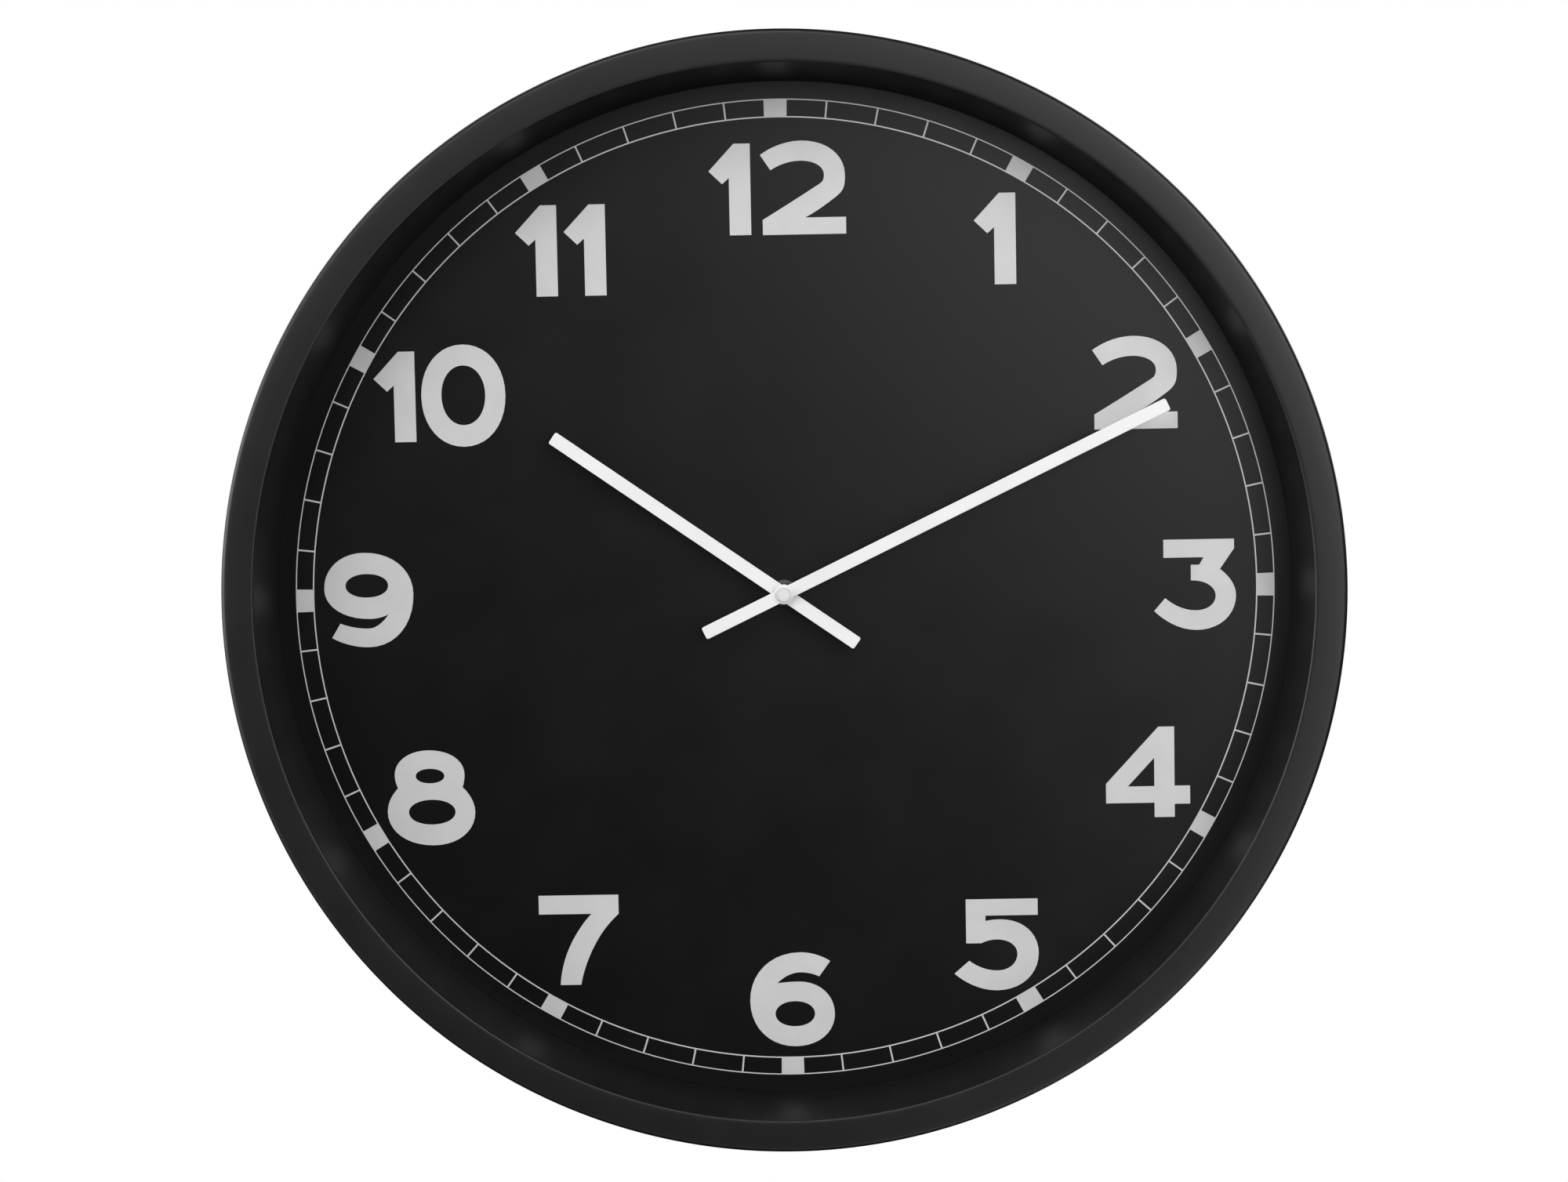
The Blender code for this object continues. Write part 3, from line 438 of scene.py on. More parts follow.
def brushed_material(name, colours, roughness):
    """Plated or turned metal with fine drawn lines."""
    return finish_material(
        name, colours, roughness, metallic=1.0, blotch=25.0, grain=700.0,
        grain_depth=0.003 * MM, stretch=(1, 1, 18), rough_scale=260.0,
    )


def circuit_material():
    """Green solder mask with paler copper traces under it."""
    material = finish_material(
        "circuit_green", ((0.010, 0.12, 0.045), (0.020, 0.17, 0.07)), (0.28, 0.42),
        blotch=300.0, grain=2500.0, grain_depth=0.004 * MM, coat=0.3,
    )
    tree = material.node_tree
    shader = tree.nodes["Principled BSDF"]
    base = shader.inputs["Base Color"].links[0].from_socket
    cells = tree.nodes.new("ShaderNodeTexVoronoi")
    cells.distance = 'MANHATTAN'
    cells.inputs["Scale"].default_value = 420.0
    tree.links.new(tree.nodes["Place"].outputs["Object"], cells.inputs["Vector"])
    traces = add_range(tree, cells.outputs["Distance"], 0.0, 1.0, 0.42, 0.47)
    tree.links.new(add_mix(tree, traces, base, (0.08, 0.34, 0.14)), shader.inputs["Base Color"])
    return material


def winding_material():
    """Turns of fine enamelled wire round the coil, which lies along X."""
    material = finish_material(
        "copper_wire", ((0.55, 0.20, 0.08), (0.78, 0.36, 0.17)), (0.25, 0.4), metallic=1.0,
        blotch=200.0, grain=4000.0, grain_depth=0.002 * MM,
    )
    tree = material.node_tree
    shader = tree.nodes["Principled BSDF"]
    bands = tree.nodes.new("ShaderNodeTexWave")
    bands.wave_type = 'BANDS'
    bands.bands_direction = 'X'
    bands.inputs["Scale"].default_value = 1600.0
    bands.inputs["Distortion"].default_value = 0.6
    tree.links.new(tree.nodes["Place"].outputs["Object"], bands.inputs["Vector"])
    below = shader.inputs["Normal"].links[0].from_socket
    wires = add_bump(tree, bands.outputs["Fac"], 0.05 * MM, below)
    tree.links.new(wires, shader.inputs["Normal"])
    return material


def make_materials():
    """Every finish by name; a CAD node's slot in the record picks its finish."""
    return {
        "black_steel_paint": finish_material(
            "black_steel_paint", ((0.0025, 0.0025, 0.0026), (0.0040, 0.0040, 0.0042)), (0.42, 0.46),
            specular=0.46, blotch=9.0, grain=520.0, grain_depth=0.002 * MM, rough_scale=30.0,
        ),
        "dial_paint": finish_material(
            "dial_paint", ((0.0012, 0.0012, 0.0013), (0.0018, 0.0018, 0.0019)), (0.33, 0.37),
            specular=0.4, blotch=7.0, grain=1100.0, grain_depth=0.003 * MM, rough_scale=24.0,
        ),
        "dial_ink": finish_material(
            "dial_ink", ((0.535, 0.535, 0.54), (0.57, 0.57, 0.575)), (0.55, 0.68),
            blotch=60.0, grain=2200.0, grain_depth=0.006 * MM, specular=0.3, rough_scale=300.0,
        ),
        "white_paint": finish_material(
            "white_paint", ((0.77, 0.77, 0.772), (0.81, 0.81, 0.812)), (0.34, 0.46),
            blotch=30.0, grain=900.0, grain_depth=0.003 * MM, rough_scale=120.0,
        ),
        "cap_paint": finish_material(
            "cap_paint", ((0.66, 0.66, 0.662), (0.71, 0.71, 0.712)), (0.32, 0.42),
            blotch=200.0, grain=1500.0, grain_depth=0.003 * MM, rough_scale=300.0,
        ),
        "pressed_board": pressed_board_material(),
        "zinc_steel": brushed_material(
            "zinc_steel", ((0.52, 0.53, 0.55), (0.68, 0.68, 0.67)), (0.26, 0.42),
        ),
        "black_zinc": finish_material(
            "black_zinc", ((0.030, 0.031, 0.034), (0.060, 0.060, 0.062)), (0.30, 0.45),
            metallic=0.6, blotch=150.0, grain=1500.0, rough_scale=250.0,
        ),
        "washer_steel": finish_material(
            "washer_steel", ((0.16, 0.16, 0.165), (0.22, 0.22, 0.225)), (0.3, 0.42), metallic=0.8,
            blotch=150.0, grain=1500.0, rough_scale=250.0,
        ),
        "brass": brushed_material("brass", ((0.70, 0.47, 0.19), (0.84, 0.62, 0.29)), (0.22, 0.34)),
        "black_rubber": finish_material(
            "black_rubber", ((0.022, 0.022, 0.022), (0.034, 0.034, 0.034)), (0.75, 0.9),
            blotch=80.0, grain=1200.0, grain_depth=0.02 * MM, specular=0.3,
        ),
        "black_plastic": finish_material(
            "black_plastic", ((0.020, 0.020, 0.022), (0.030, 0.030, 0.032)), (0.45, 0.6),
            blotch=60.0, grain=2600.0, grain_depth=0.02 * MM, rough_scale=200.0,
        ),
        "white_plastic": finish_material(
            "white_plastic", ((0.76, 0.76, 0.71), (0.83, 0.83, 0.79)), (0.32, 0.45),
            blotch=150.0, grain=2000.0, grain_depth=0.004 * MM, subsurface=0.1, rough_scale=300.0,
        ),
        "copper_wire": winding_material(),
        "circuit_green": circuit_material(),
        "magnet": finish_material(
            "magnet", ((0.07, 0.07, 0.078), (0.13, 0.13, 0.14)), (0.4, 0.6), metallic=0.7,
            blotch=500.0, grain=3000.0, grain_depth=0.01 * MM,
        ),
        "battery_jacket": finish_material(
            "battery_jacket", ((0.035, 0.10, 0.27), (0.05, 0.13, 0.32)), (0.18, 0.28),
            blotch=80.0, grain=600.0, grain_depth=0.004 * MM, coat=0.5,
        ),
        "battery_band": finish_material(
            "battery_band", ((0.60, 0.47, 0.26), (0.70, 0.56, 0.33)), (0.2, 0.32), metallic=0.9,
            blotch=80.0, grain=600.0, grain_depth=0.004 * MM, coat=0.5,
        ),
        "studio_floor": finish_material(
            "studio_floor", ((0.80, 0.80, 0.80), (0.84, 0.84, 0.84)), (0.7, 0.85),
            blotch=1.2, grain=60.0, grain_depth=0.05 * MM, rough_scale=2.0,
        ),
    }


# ---------------------------------------------------------------- case and dial

def case_profile():
    """The whole section of the spun sheet: its outer skin, then back along its inner skin."""
    edge = CASE_DEPTH - FACE_EDGE_DROP
    flange = rear_and_front("dial_plate")[1] + FLANGE_GAP
    lip = (LIP_RADIUS + LIP_CORNER, edge - LIP_CORNER)
    corner = (CASE_RADIUS - FRONT_CORNER, edge - FRONT_CORNER)
    foot = (FOOT_RADIUS + FOOT_CORNER, flange + FOOT_CORNER)
    peak = (CASE_RADIUS + LIP_RADIUS) / 2
    outer = [(DIAL_FLANGE_RADIUS, flange)]
    outer += arc(*foot, FOOT_CORNER, 270, 180, 5)
    outer += arc(*lip, LIP_CORNER, 176, 98, 8)
    outer += crown(outer[-1], peak, corner[0] + 0.3 * MM)
    outer += arc(*corner, FRONT_CORNER, 84, 0, 10)
    outer += [(CASE_RADIUS, REAR_CORNER), (CASE_RADIUS - REAR_CORNER, 0), (REAR_FLANGE_RADIUS, 0)]
    inner = [(REAR_FLANGE_RADIUS, SHEET), (CASE_RADIUS - SHEET - 0.5 * MM, SHEET)]
    inner += [(CASE_RADIUS - SHEET, SHEET + 0.5 * MM)]
    inner += arc(*corner, FRONT_CORNER - SHEET, 0, 90, 6)
    inner += [(peak, CASE_DEPTH - SHEET)]
    inner += arc(*lip, LIP_CORNER - SHEET, 90, 176, 3)
    inner += [(FOOT_RADIUS + SHEET + 0.1 * MM, flange + SHEET + 0.4 * MM)]
    inner += [(FOOT_RADIUS + SHEET + 0.6 * MM, flange + SHEET), (DIAL_FLANGE_RADIUS, flange + SHEET)]
    return outer + inner


def crown(start, peak, end_radius, steps=10):
    """The gently domed front face, from the lip's last point out to the front corner."""
    points = []
    drop = CASE_DEPTH - start[1]
    for step in range(1, steps):
        radius = start[0] + (end_radius - start[0]) * step / steps
        side = (peak - start[0]) if radius < peak else (end_radius - peak)
        points.append((radius, CASE_DEPTH - drop * ((radius - peak) / side) ** 2))
    return points


def build_case(finish):
    """The spun case, as one turned sheet."""
    mesh = turned("case", case_profile(), CASE_STEPS, sharp_degrees=50)
    piece("case_shell", mesh, finish["black_steel_paint"], ROOT, ["spun_case"])


def build_dial(finish):
    """The dial's flat disc, with the bush's hole in it."""
    rear, front = rear_and_front("dial_plate")
    outlines = [circle(0, 0, DIAL_RADIUS, CASE_STEPS), circle(0, 0, BUSH_HOLE)]
    mesh = plate("dial", outlines, rear, front)
    piece("dial_disc", mesh, finish["dial_paint"], ROOT, ["dial_plate"])


# ---------------------------------------------------------------- numerals and minute track

# A numeral's outline is a loop of points in millimetres from its lower left corner. A point with
# only x and y is a corner; one with a direction as well is where a curve runs that way.
STEM = [(0, 34.7), (13.8, 49.4), (22.7, 49.4), (22.7, 0), (11, 0), (11, 31), (7.3, 27.7)]
TWO = [
    (0, 0), (45.3, 0), (45.3, 9.1), (23.1, 9.1), (36, 17.1, 36), (45.1, 31.9, UP),
    (21.4, 50.6, LEFT), (-0.9, 43.2), (4.7, 34.9), (20.9, 39.8, RIGHT), (33.7, 32.2, DOWN),
    (27.9, 25.1, 212), (0, 8.2),
]
THREE = [
    (5.3, 49.8), (43.9, 49.8), (43.9, 44.5), (36.1, 33.3), (44.8, 19, DOWN), (23.4, 0, LEFT),
    (0, 10.8), (6.1, 17.8), (22.9, 10.8, RIGHT), (33.7, 18.7, UP), (20.4, 27.3, LEFT), (20.2, 27.3),
    (20.2, 35.8), (24.8, 35.8), (27.2, 39.9), (5.3, 39.9),
]
FOUR = [
    (29, 50.1), (37.7, 50.1), (37.7, 17.3), (46.2, 17.3), (46.2, 7.2), (37.7, 7.2), (37.7, 0),
    (26.6, 0), (26.6, 8), (0, 8), (0, 18.8),
]
FOUR_COUNTER = [(26.6, 32.9), (26.6, 17.2), (12, 17.2)]
FIVE = [
    (6.7, 51.1), (46.4, 51.1), (46.4, 41.9), (17.5, 41.9), (17.5, 38.9), (25.6, 39.7, RIGHT),
    (46.7, 20.9, DOWN), (23.6, 0, LEFT), (0, 9.7), (8.3, 16.8), (23.8, 11.1, RIGHT),
    (34.9, 20.4, UP), (23.6, 28.5, LEFT), (15.1, 26.5), (6.7, 26.5),
]
SIX = [
    (44.7, 47.6), (28, 52.7, LEFT), (0, 25.6, DOWN), (25, 0, RIGHT), (46.8, 18.1, UP),
    (27, 36.3, LEFT), (15.2, 35.5), (28, 41.5, RIGHT), (38.5, 39),
]
SEVEN = [
    (0, 50.2), (44.2, 50.2), (44.2, 39.5), (33.6, 27.2, 237), (22.6, 0), (11.2, 0),
    (16.6, 21.2, 65), (29.1, 39.7), (0, 39.7),
]
EIGHT = [
    (23.3, 52.9, RIGHT), (43, 39.3, DOWN), (41.7, 32.1), (48.4, 18.3, DOWN), (25.2, 0, LEFT),
    (0, 18.8, UP), (6.1, 32.1), (4.4, 39.3, UP),
]
NINE = [
    (22.3, 52.1, RIGHT), (49, 29.2, DOWN), (23.8, 0, LEFT), (3.6, 5.4), (8.4, 13.3),
    (23.8, 10.3, RIGHT), (35, 18), (24.8, 15.6, LEFT), (0, 32.2, UP),
]


def oval(centre_x, centre_y, half_width, half_height):
    """A closed curve through its four outermost points, clockwise from the right."""
    return [
        (centre_x + half_width, centre_y, DOWN),
        (centre_x, centre_y - half_height, LEFT),
        (centre_x - half_width, centre_y, UP),
        (centre_x, centre_y + half_height, RIGHT),
    ]


DIGITS = {
    "0": [oval(23.05, 27.9, 23.05, 27.9), oval(23.05, 28.1, 12, 16.3)],
    "1": [STEM],
    "2": [TWO],
    "3": [THREE],
    "4": [FOUR, FOUR_COUNTER],
    "5": [FIVE],
    "6": [SIX, oval(24.85, 18.3, 10.95, 7.05)],
    "7": [SEVEN],
    "8": [EIGHT, oval(23.9, 38.6, 7.9, 4.05), oval(24.6, 18.5, 12.9, 6.9)],
    "9": [NINE, oval(23.5, 33.9, 11.75, 6.5)],
}

# Where each digit's lower left corner stands on the dial, in millimetres from the arbor
DIGIT_PLACES = [
    ("12", "1", -36.9, 195.3), ("12", "2", -7.9, 195.1),
    ("1", "1", 106.7, 166.1), ("2", "2", 171.0, 86.2), ("3", "3", 202.6, -24.5),
    ("4", "4", 175.2, -127.6), ("5", "5", 90.4, -222.9), ("6", "6", -23.0, -252.6),
    ("7", "7", -139.1, -216.2), ("8", "8", -221.3, -136.8), ("9", "9", -252.8, -26.2),
    ("10", "1", -222.4, 86.2), ("10", "0", -196.45, 83.1),
    ("11", "1", -142.9, 164.1), ("11", "1", -116.4, 164.1),
]


def handle(point, chord):
    """How far a curve runs on along a point's direction; a corner has no such run."""
    if len(point) < 3:
        return Vector((0, 0))
    along = Vector((math.cos(math.radians(point[2])), math.sin(math.radians(point[2]))))
    return along * abs(chord.dot(along)) * ROUNDNESS


def digit_outline(loop, origin, steps=10):
    """The loop's points in metres on the dial, with its curves cut into short lines."""
    points = []
    for start, end in zip(loop, loop[1:] + loop[:1]):
        a, d = Vector(start[:2]), Vector(end[:2])
        b = a + handle(start, d - a)
        c = d - handle(end, d - a)
        curved = len(start) > 2 or len(end) > 2
        for step in range(steps if curved else 1):
            t = step / steps
            s = 1 - t
            spot = a * s ** 3 + b * 3 * s * s * t + c * 3 * s * t * t + d * t ** 3
            points.append(((origin[0] + spot.x) * MM, (origin[1] + spot.y) * MM))
    return points


def build_numerals(finish):
    """A piece for each hour, of one or two digits."""
    front = rear_and_front("dial_plate")[1]
    hours = sorted({row[0] for row in DIGIT_PLACES}, key=int)
    for hour in hours:
        meshes = []
        for owner, digit, x, y in DIGIT_PLACES:
            if owner == hour:
                outlines = [digit_outline(loop, (x, y)) for loop in DIGITS[digit]]
                meshes.append(plate("digit", outlines, front - INK_THICK, front + INK_THICK))
        mesh = joined("numeral", meshes)
        piece(f"numeral_{hour}", mesh, finish["dial_ink"], ROOT)


def ink_ring(radius, line, low, high):
    """A flat ring whose middle is at a radius."""
    inner, outer = radius - line / 2, radius + line / 2
    return plate("ring", [circle(0, 0, outer, 720), circle(0, 0, inner, 720)], low, high)


def build_minute_track(finish):
    """Two fine rings, a tick to the minute and a filled block at each hour."""
    front = rear_and_front("dial_plate")[1]
    low, high = front - INK_THICK, front + INK_THICK
    rings = [
        ink_ring(INNER_RING, INNER_LINE, low, high),
        ink_ring(OUTER_RING, OUTER_LINE, low, high),
    ]
    piece("track_rings", joined("rings", rings), finish["dial_ink"], ROOT)
    ticks = []
    for minute in range(60):
        width = HOUR_BLOCK_WIDTH if minute % 5 == 0 else TICK_WIDTH
        half = math.degrees(width / 2 / ((INNER_RING + OUTER_RING) / 2))
        steps = 6 if minute % 5 == 0 else 1
        outline = arc(0, 0, OUTER_RING, -half, half, steps)
        outline += arc(0, 0, INNER_RING, half, -half, steps)
        # A hair lower than the rings, so that no two faces share a plane
        mark = plate("mark", [outline], low, high - 0.01 * MM)
        ticks.append(moved(mark, turn=6 * minute - 90))
    piece("track_marks", joined("marks", ticks), finish["dial_ink"], ROOT)


# ---------------------------------------------------------------- hands and hub

def hand_outline(length, width):
    """A straight bar with eased square ends and a round boss at the arbor."""
    half = width / 2
    meet = math.degrees(math.asin(half / BOSS_RADIUS))
    points = []
    points += arc(half - HAND_CORNER, length - HAND_CORNER, HAND_CORNER, 0, 90, 6)
    points += arc(HAND_CORNER - half, length - HAND_CORNER, HAND_CORNER, 90, 180, 6)
    points += arc(0, 0, BOSS_RADIUS, 90 + meet, 270 - meet, 20)
    points += arc(HAND_CORNER - half, HAND_CORNER - HAND_TAIL, HAND_CORNER, 180, 270, 6)
    points += arc(half - HAND_CORNER, HAND_CORNER - HAND_TAIL, HAND_CORNER, 270, 360, 6)
    points += arc(0, 0, BOSS_RADIUS, meet - 90, 90 - meet, 20)
    return points


def build_hand(finish, name, node, body, outline, bore, turn):
    """One hand, bored at the arbor and turned clockwise from 12."""
    rear, front = rear_and_front(node)
    mesh = plate(name, [outline, circle(0, 0, bore)], rear, front, HAND_BEVEL)
    piece(name, moved(mesh, turn=turn), finish["white_paint"], body, [node])


def build_hub_cap(finish):
    """A low round cap: a flat disc, a fine groove and a rounded rim."""
    rear, front = rear_and_front("hub_cap")
    rim = box_radius("hub_cap")
    bore_depth = 1.2 * MM
    groove = 0.3 * MM
    round_over = 0.35 * MM
    profile = [(0, front), (rim - 0.78 * MM, front), (rim - 0.70 * MM, front - 0.06 * MM)]
    profile += [(rim - 0.66 * MM, front - groove), (rim - 0.50 * MM, front - groove)]
    profile += [(rim - 0.46 * MM, front - 0.06 * MM)]
    profile += arc(rim - round_over, front - round_over, round_over, 90, 0, 6)
    profile += [(rim, rear + 0.1 * MM), (rim - 0.1 * MM, rear), (ARBOR_HOLE, rear)]
    profile += [(ARBOR_HOLE, rear + bore_depth), (0, rear + bore_depth)]
    mesh = turned("hub_cap", profile, 64)
    piece("hub_cap_turned", mesh, finish["cap_paint"], "minute_group", ["hub_cap"])


def build_hands(finish):
    """Both hands, and the cap over the arbor."""
    minute = hand_outline(MINUTE_LENGTH, MINUTE_WIDTH)
    hour = hand_outline(HOUR_LENGTH, HOUR_WIDTH)
    build_hand(finish, "minute_bar", "minute_hand", "minute_group", minute, ARBOR_HOLE, MINUTE_ANGLE)
    build_hand(finish, "hour_bar", "hour_hand", "hour_group", hour, TUBE_HOLE, HOUR_ANGLE)
    build_hub_cap(finish)


def build_bush_fixings(finish):
    """Threaded bush, washer and hexagon nut on the dial's front."""
    build_bush(finish)
    build_washer(finish)
    rear, front = rear_and_front("bush_nut")
    mesh = plate("nut", [circle(0, 0, 6.0 * MM, 6), circle(0, 0, BUSH_HOLE)], rear, front, 0.2 * MM)
    piece("nut_hex", mesh, finish["black_zinc"], ROOT, ["bush_nut"])


def build_bush(finish):
    """The bush: a thread along its front and a flange at its rear end."""
    rear, front = rear_and_front("threaded_bush")
    crest, root, bore = 3.9 * MM, 3.62 * MM, 2.95 * MM
    pitch = 0.75 * MM
    flange, flange_radius = 0.5 * MM, 5.4 * MM
    height = front - 0.3 * MM
    profile = [(bore, front), (root, front), (crest, height)]
    while height - pitch > rear + flange + 1.5 * MM:
        profile += [(root, height - pitch / 2), (crest, height - pitch)]
        height -= pitch
    profile += [(crest, rear + flange), (flange_radius, rear + flange), (flange_radius, rear)]
    profile.append((bore, rear))
    mesh = turned("bush", profile, 48, sharp_degrees=20)
    piece("bush_thread", mesh, finish["brass"], ROOT, ["threaded_bush"])


def build_washer(finish):
    """The washer, with its outer edges eased."""
    rear, front = rear_and_front("bush_washer")
    edge = 0.12 * MM
    outer = box_radius("bush_washer")
    profile = [(BUSH_HOLE, front), (outer - edge, front), (outer, front - edge)]
    profile += [(outer, rear + edge), (outer - edge, rear), (BUSH_HOLE, rear)]
    mesh = turned("washer", profile, 64)
    piece("washer_ring", mesh, finish["washer_steel"], ROOT, ["bush_washer"])


# ---------------------------------------------------------------- back of the clock

def build_back_board(finish):
    """The board, with openings for the movement, the keyhole and the screws."""
    rear, front = rear_and_front("back_board")
    window = rectangle(-BOARD_WINDOW, -BOARD_WINDOW, BOARD_WINDOW, BOARD_WINDOW)
    pocket = rectangle(
        -POCKET_HALF, HANG_HEIGHT - POCKET_BELOW, POCKET_HALF, HANG_HEIGHT + POCKET_ABOVE,
    )
    outlines = [circle(0, 0, BOARD_RADIUS, CASE_STEPS), window, pocket]
    outlines += [circle(*middle(node), SCREW_HOLE, 24) for node in SCREWED_TO_BOARD]
    mesh = plate("board", outlines, rear, front, 0.25 * MM, 1)
    piece("board_disc", mesh, finish["pressed_board"], ROOT, ["back_board"])


def build_hanger_plate(finish):
    """The keyhole plate: a round entry with a slot above it that takes the wall screw."""
    rear, front = rear_and_front("hanger_plate")
    low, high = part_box("hanger_plate")
    neck = math.degrees(math.acos(KEYHOLE_SLOT_HALF / KEYHOLE_ENTRY))
    keyhole = arc(0, HANG_HEIGHT - KEYHOLE_TRAVEL, KEYHOLE_ENTRY, 180 - neck, 360 + neck, 36)
    keyhole += arc(0, HANG_HEIGHT, KEYHOLE_SLOT_HALF, 0, 180, 18)
    bottom, top = low.z + HANG_HEIGHT, high.z + HANG_HEIGHT
    outlines = [rounded_rectangle(low.x, bottom, high.x, top, PLATE_CORNER), keyhole]
    outlines += [circle(*middle(f"hanger_screw_{i}"), SCREW_HOLE, 24) for i in (1, 2)]
    mesh = plate("plate", outlines, rear, front, 0.2 * MM)
    piece("keyhole_plate", mesh, finish["zinc_steel"], ROOT, ["hanger_plate"])


def pan_screw(head_radius, head_height, shank_radius, length):
    """A cross-head screw on its own XY plane, head towards the wall, with a ridged shank."""
    dome = []
    for step in range(9):
        angle = math.radians(90 * step / 8)
        dome.append((head_radius * math.sin(angle), -head_height * (0.35 + 0.65 * math.cos(angle))))
    profile = dome + [(head_radius, 0), (shank_radius, 0)]
    pitch = 1.0 * MM
    height = 0.4 * MM
    while height + pitch < length - shank_radius:
        profile += [(shank_radius, height), (shank_radius * 0.82, height + pitch / 2)]
        height += pitch
    profile += [(shank_radius, height), (0, length)]
    mesh = turned("screw", profile, 40)
    reach, half = head_radius * 0.56, head_radius * 0.11
    recess = rectangle(-reach, -half, reach, half)
    for turn in (0, 90):
        blade = plate("blade", [recess], -head_height * 1.2, -head_height * 0.45)
        mesh = cut(mesh, moved(blade, turn=turn))
    return mesh


# Head radius, head height, shank radius and shank length in millimetres, and the finish
SCREW_KINDS = {
    "back": ((3.2, 2.0, 1.6, 8.0), "black_zinc"),
    "hanger": ((3.0, 1.5, 1.6, 4.3), "zinc_steel"),
}


def build_screws(finish):
    """The screws in the board, each with its cross turned further than the last."""
    for number, node in enumerate(SCREWED_TO_BOARD):
        sizes, plating = SCREW_KINDS[node.split("_")[0]]
        mesh = pan_screw(*[size * MM for size in sizes])
        seat = rear_and_front(node)[0] + sizes[1] * MM
        moved(mesh, (*middle(node), seat))
        mesh.transform(turn_about(middle(node), SCREW_TURN * number))
        piece(node + "_cross", mesh, finish[plating], ROOT, [node])


def turn_about(centre, degrees):
    """A turn about a point of the clock's face."""
    shift = Matrix.Translation((*centre, 0))
    return shift @ Matrix.Rotation(math.radians(degrees), 4, 'Z') @ shift.inverted()


# ---------------------------------------------------------------- movement

def build_movement(finish):
    """The housing, its cover and the setting knob, with eased edges."""
    for node, width in (("movement_housing", 0.5), ("movement_cover", 0.3)):
        mesh = eased_copy(node, width * MM)
        name = node + "_moulding"
        piece(name, mesh, finish["black_plastic"], ROOT, [node], in_world=True)
    mesh = eased_copy("setting_knob", 0.15 * MM)
    piece(
        "setting_knob_moulding", mesh, finish["white_plastic"], "setting_knob",
        ["setting_knob"], in_world=True,
    )
    build_cover_details(finish)


def build_cover_details(finish):
    """Raised rim, knob collar and snap lugs on the rear cover, all facing the wall."""
    rear = rear_and_front("movement_cover")[0]
    sunk = rear + RELIEF_ROOT
    low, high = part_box("movement_cover")
    bottom, top = low.z + HANG_HEIGHT, high.z + HANG_HEIGHT
    frames = []
    for inset, corner in ((1.2 * MM, 1.5 * MM), (2.4 * MM, 1.0 * MM)):
        frames.append(rounded_rectangle(
            low.x + inset, bottom + inset, high.x - inset, top - inset, corner,
        ))
    meshes = [plate("rim", frames, rear - COVER_RELIEF, sunk, 0.1 * MM, 1)]
    knob, head = middle("setting_knob"), box_radius("setting_knob")
    collar = [circle(*knob, head + 1.3 * MM), circle(*knob, head + 0.4 * MM)]
    meshes.append(plate("collar", collar, rear - COVER_RELIEF, sunk, 0.1 * MM, 1))
    for x in (-LUG_SPACING, 0, LUG_SPACING):
        left, right = x - LUG_HALF_WIDTH, x + LUG_HALF_WIDTH
        lug = rounded_rectangle(left, top - 5.5 * MM, right, top - 3.5 * MM, 0.5 * MM)
        meshes.append(plate("lug", [lug], rear - LUG_RELIEF, sunk, 0.15 * MM, 1))
    mesh = joined("cover_details", meshes)
    piece("movement_cover_ribs", mesh, finish["black_plastic"], ROOT)


def battery_matrix():
    """Takes a cell drawn along height to its place, with its positive end towards +X."""
    low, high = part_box("battery")
    centre = Vector(((low.x + high.x) / 2, (low.y + high.y) / 2, (low.z + high.z) / 2))
    return Matrix.Translation(centre) @ Matrix.Rotation(math.radians(90), 4, 'Y')


def build_battery(finish):
    """A cell with a plated can, a film jacket rolled over its flat end, and a pale band."""
    low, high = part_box("battery")
    radius = (high.z - low.z) / 2
    half = (high.x - low.x) / 2
    nub_radius, nub = 2.6 * MM, 1.2 * MM
    top = half - nub
    wall = radius - 0.25 * MM
    can = [(0, half), (nub_radius - 0.3 * MM, half)]
    can += [(nub_radius, half - 0.3 * MM), (nub_radius, top)]
    can += [(nub_radius + 0.8 * MM, top - 0.1 * MM), (radius - 0.4 * MM, top - 0.1 * MM)]
    can += [(wall, top - 0.5 * MM), (wall, 0.4 * MM - half)]
    can += [(radius - 0.6 * MM, 0.1 * MM - half), (0, 0.1 * MM - half)]
    split = half * 0.45
    film = 0.2 * MM
    corner = 0.25 * MM
    jacket = [(radius - 2 * film, -half), (radius - film / 2, -half), (radius, corner - half)]
    jacket += [(radius, split), (radius - film, split)]
    band = [(radius - film, split), (radius, split), (radius, top - corner), (radius - film, top)]
    place = battery_matrix()
    for name, profile, material, slot, replaces in (
        ("battery_can", can, "zinc_steel", "zinc_steel", ["battery"]),
        ("battery_jacket_film", jacket, "battery_jacket", "battery_jacket", []),
        ("battery_band_film", band, "battery_band", "battery_jacket", []),
    ):
        mesh = turned(name, profile, 56)
        mesh.transform(place)
        piece(name, mesh, finish[material], "battery", replaces, in_world=True)


def paint_cad_nodes(finish):
    """Give every CAD node that is still shown the finish of its slot in the record."""
    for row in frame["record"]["subparts"]:
        obj = frame["nodes"][row["node"]]
        if obj.hide_render:
            continue
        obj.data.materials.clear()
        obj.data.materials.append(finish[row["material_slot"]])


# ---------------------------------------------------------------- camera, lights and floor

def aim(obj, target):
    """Turn a light so that it shines at a point."""
    obj.rotation_euler = (target - obj.location).to_track_quat('-Z', 'Y').to_euler()


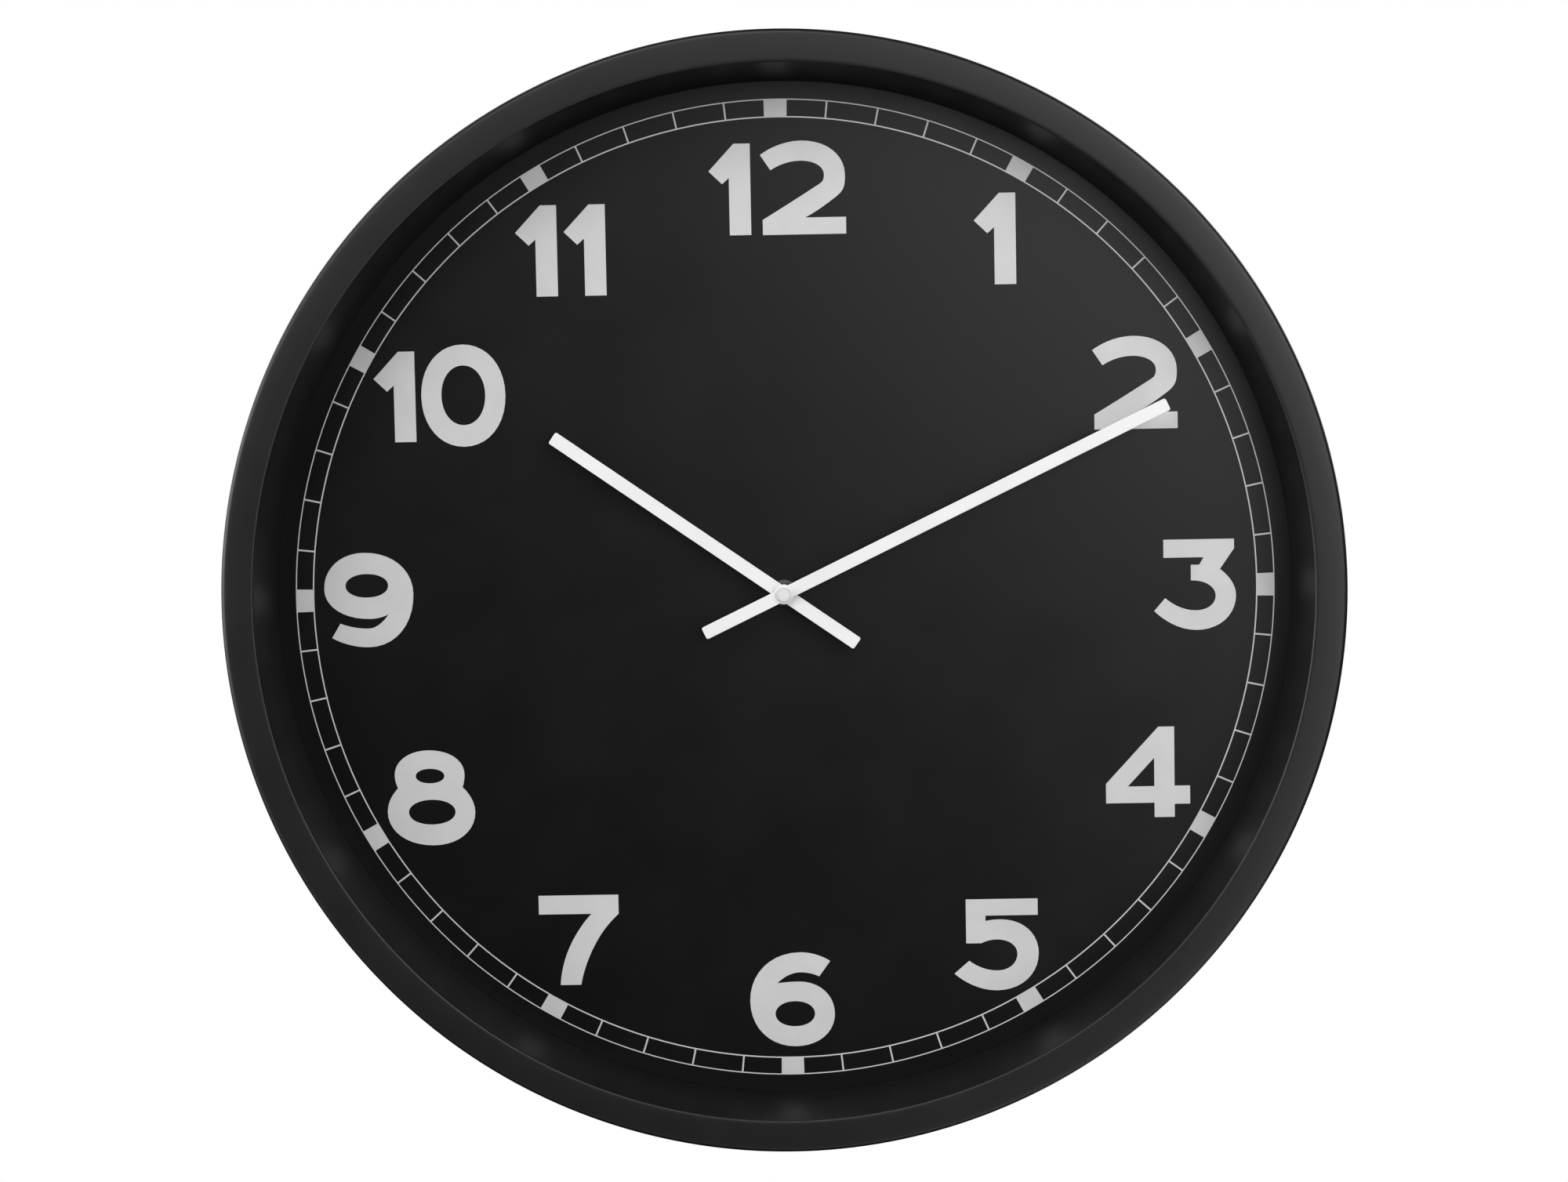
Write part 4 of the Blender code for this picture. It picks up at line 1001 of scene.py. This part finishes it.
def add_camera():
    """A camera a little above and to the right of the arbor's line, turned down and left to it."""
    data = bpy.data.cameras.new("camera")
    data.lens = FOCAL_LENGTH
    data.sensor_width = SENSOR_WIDTH
    data.shift_x = CAMERA_SHIFT
    data.clip_start = 0.05
    data.clip_end = 60
    tilt = Euler([math.radians(angle) for angle in CAMERA_TILT], 'XYZ').to_matrix()
    dial_front = rear_and_front("dial_plate")[1]
    offset = Vector((-CAMERA_OFFSET[0], -CAMERA_OFFSET[1], CAMERA_DISTANCE))
    location = tilt.transposed() @ offset + Vector((0, 0, dial_front))
    camera = bpy.data.objects.new("camera", data)
    bpy.context.scene.collection.objects.link(camera)
    camera.matrix_world = CLOCK_TO_WORLD @ Matrix.LocRotScale(location, tilt.transposed(), None)
    bpy.context.scene.camera = camera


def add_softboxes():
    """Square lights round the clock, each aimed at the arbor."""
    centre = Vector((0, 0, -HANG_HEIGHT))
    for name, right, above, power in SOFTBOXES:
        distance, size = BACK_SOFTBOX if abs(right) > 90 else FRONT_SOFTBOX
        data = bpy.data.lights.new(name, 'AREA')
        data.shape = 'SQUARE'
        data.size = size
        data.energy = power
        light = bpy.data.objects.new(name, data)
        light.visible_camera = False
        bpy.context.scene.collection.objects.link(light)
        azimuth, height = math.radians(right), math.radians(above)
        way = Vector((
            math.sin(azimuth) * math.cos(height),
            -math.cos(azimuth) * math.cos(height),
            math.sin(height),
        ))
        light.location = centre + way * distance
        aim(light, centre)


def add_world():
    """Plain white behind the clock, and a low even light from all round."""
    world = bpy.data.worlds.new("studio")
    bpy.context.scene.world = world
    world.use_nodes = True
    tree = world.node_tree
    tree.nodes.clear()
    seen = tree.nodes.new("ShaderNodeBackground")
    seen.inputs["Color"].default_value = (1, 1, 1, 1)
    seen.inputs["Strength"].default_value = 1.0
    lit = tree.nodes.new("ShaderNodeBackground")
    lit.inputs["Color"].default_value = (1, 1, 1, 1)
    lit.inputs["Strength"].default_value = AMBIENT
    ray = tree.nodes.new("ShaderNodeLightPath")
    mix = tree.nodes.new("ShaderNodeMixShader")
    output = tree.nodes.new("ShaderNodeOutputWorld")
    tree.links.new(ray.outputs["Is Camera Ray"], mix.inputs["Fac"])
    tree.links.new(lit.outputs["Background"], mix.inputs[1])
    tree.links.new(seen.outputs["Background"], mix.inputs[2])
    tree.links.new(mix.outputs["Shader"], output.inputs["Surface"])


def add_floor(finish):
    """A plain pale floor below the clock, which neither lights it nor shows in its paint."""
    bm = bmesh.new()
    bmesh.ops.create_grid(bm, x_segments=24, y_segments=24, size=FLOOR_HALF)
    bmesh.ops.translate(bm, verts=bm.verts, vec=(0, 0, -FLOOR_DROP))
    mesh = bpy.data.meshes.new("studio_floor")
    bm.to_mesh(mesh)
    bm.free()
    paint = finish["studio_floor"]
    shader = paint.node_tree.nodes["Principled BSDF"]
    shader.inputs["Emission Color"].default_value = (1, 1, 1, 1)
    shader.inputs["Emission Strength"].default_value = FLOOR_GLOW
    mesh.materials.append(paint)
    floor = bpy.data.objects.new("studio_floor", mesh)
    bpy.context.scene.collection.objects.link(floor)
    floor.visible_diffuse = False
    floor.visible_glossy = False


def build_clock():
    """Every piece of the clock, and its finishes for the floor to pick from."""
    finish = make_materials()
    build_case(finish)
    build_dial(finish)
    build_numerals(finish)
    build_minute_track(finish)
    build_hands(finish)
    build_bush_fixings(finish)
    build_back_board(finish)
    build_hanger_plate(finish)
    build_screws(finish)
    build_movement(finish)
    build_battery(finish)
    paint_cad_nodes(finish)
    return finish


FINISH = build_clock()
add_camera()
add_softboxes()
add_world()
add_floor(FINISH)
bpy.context.scene.view_settings.view_transform = 'Standard'
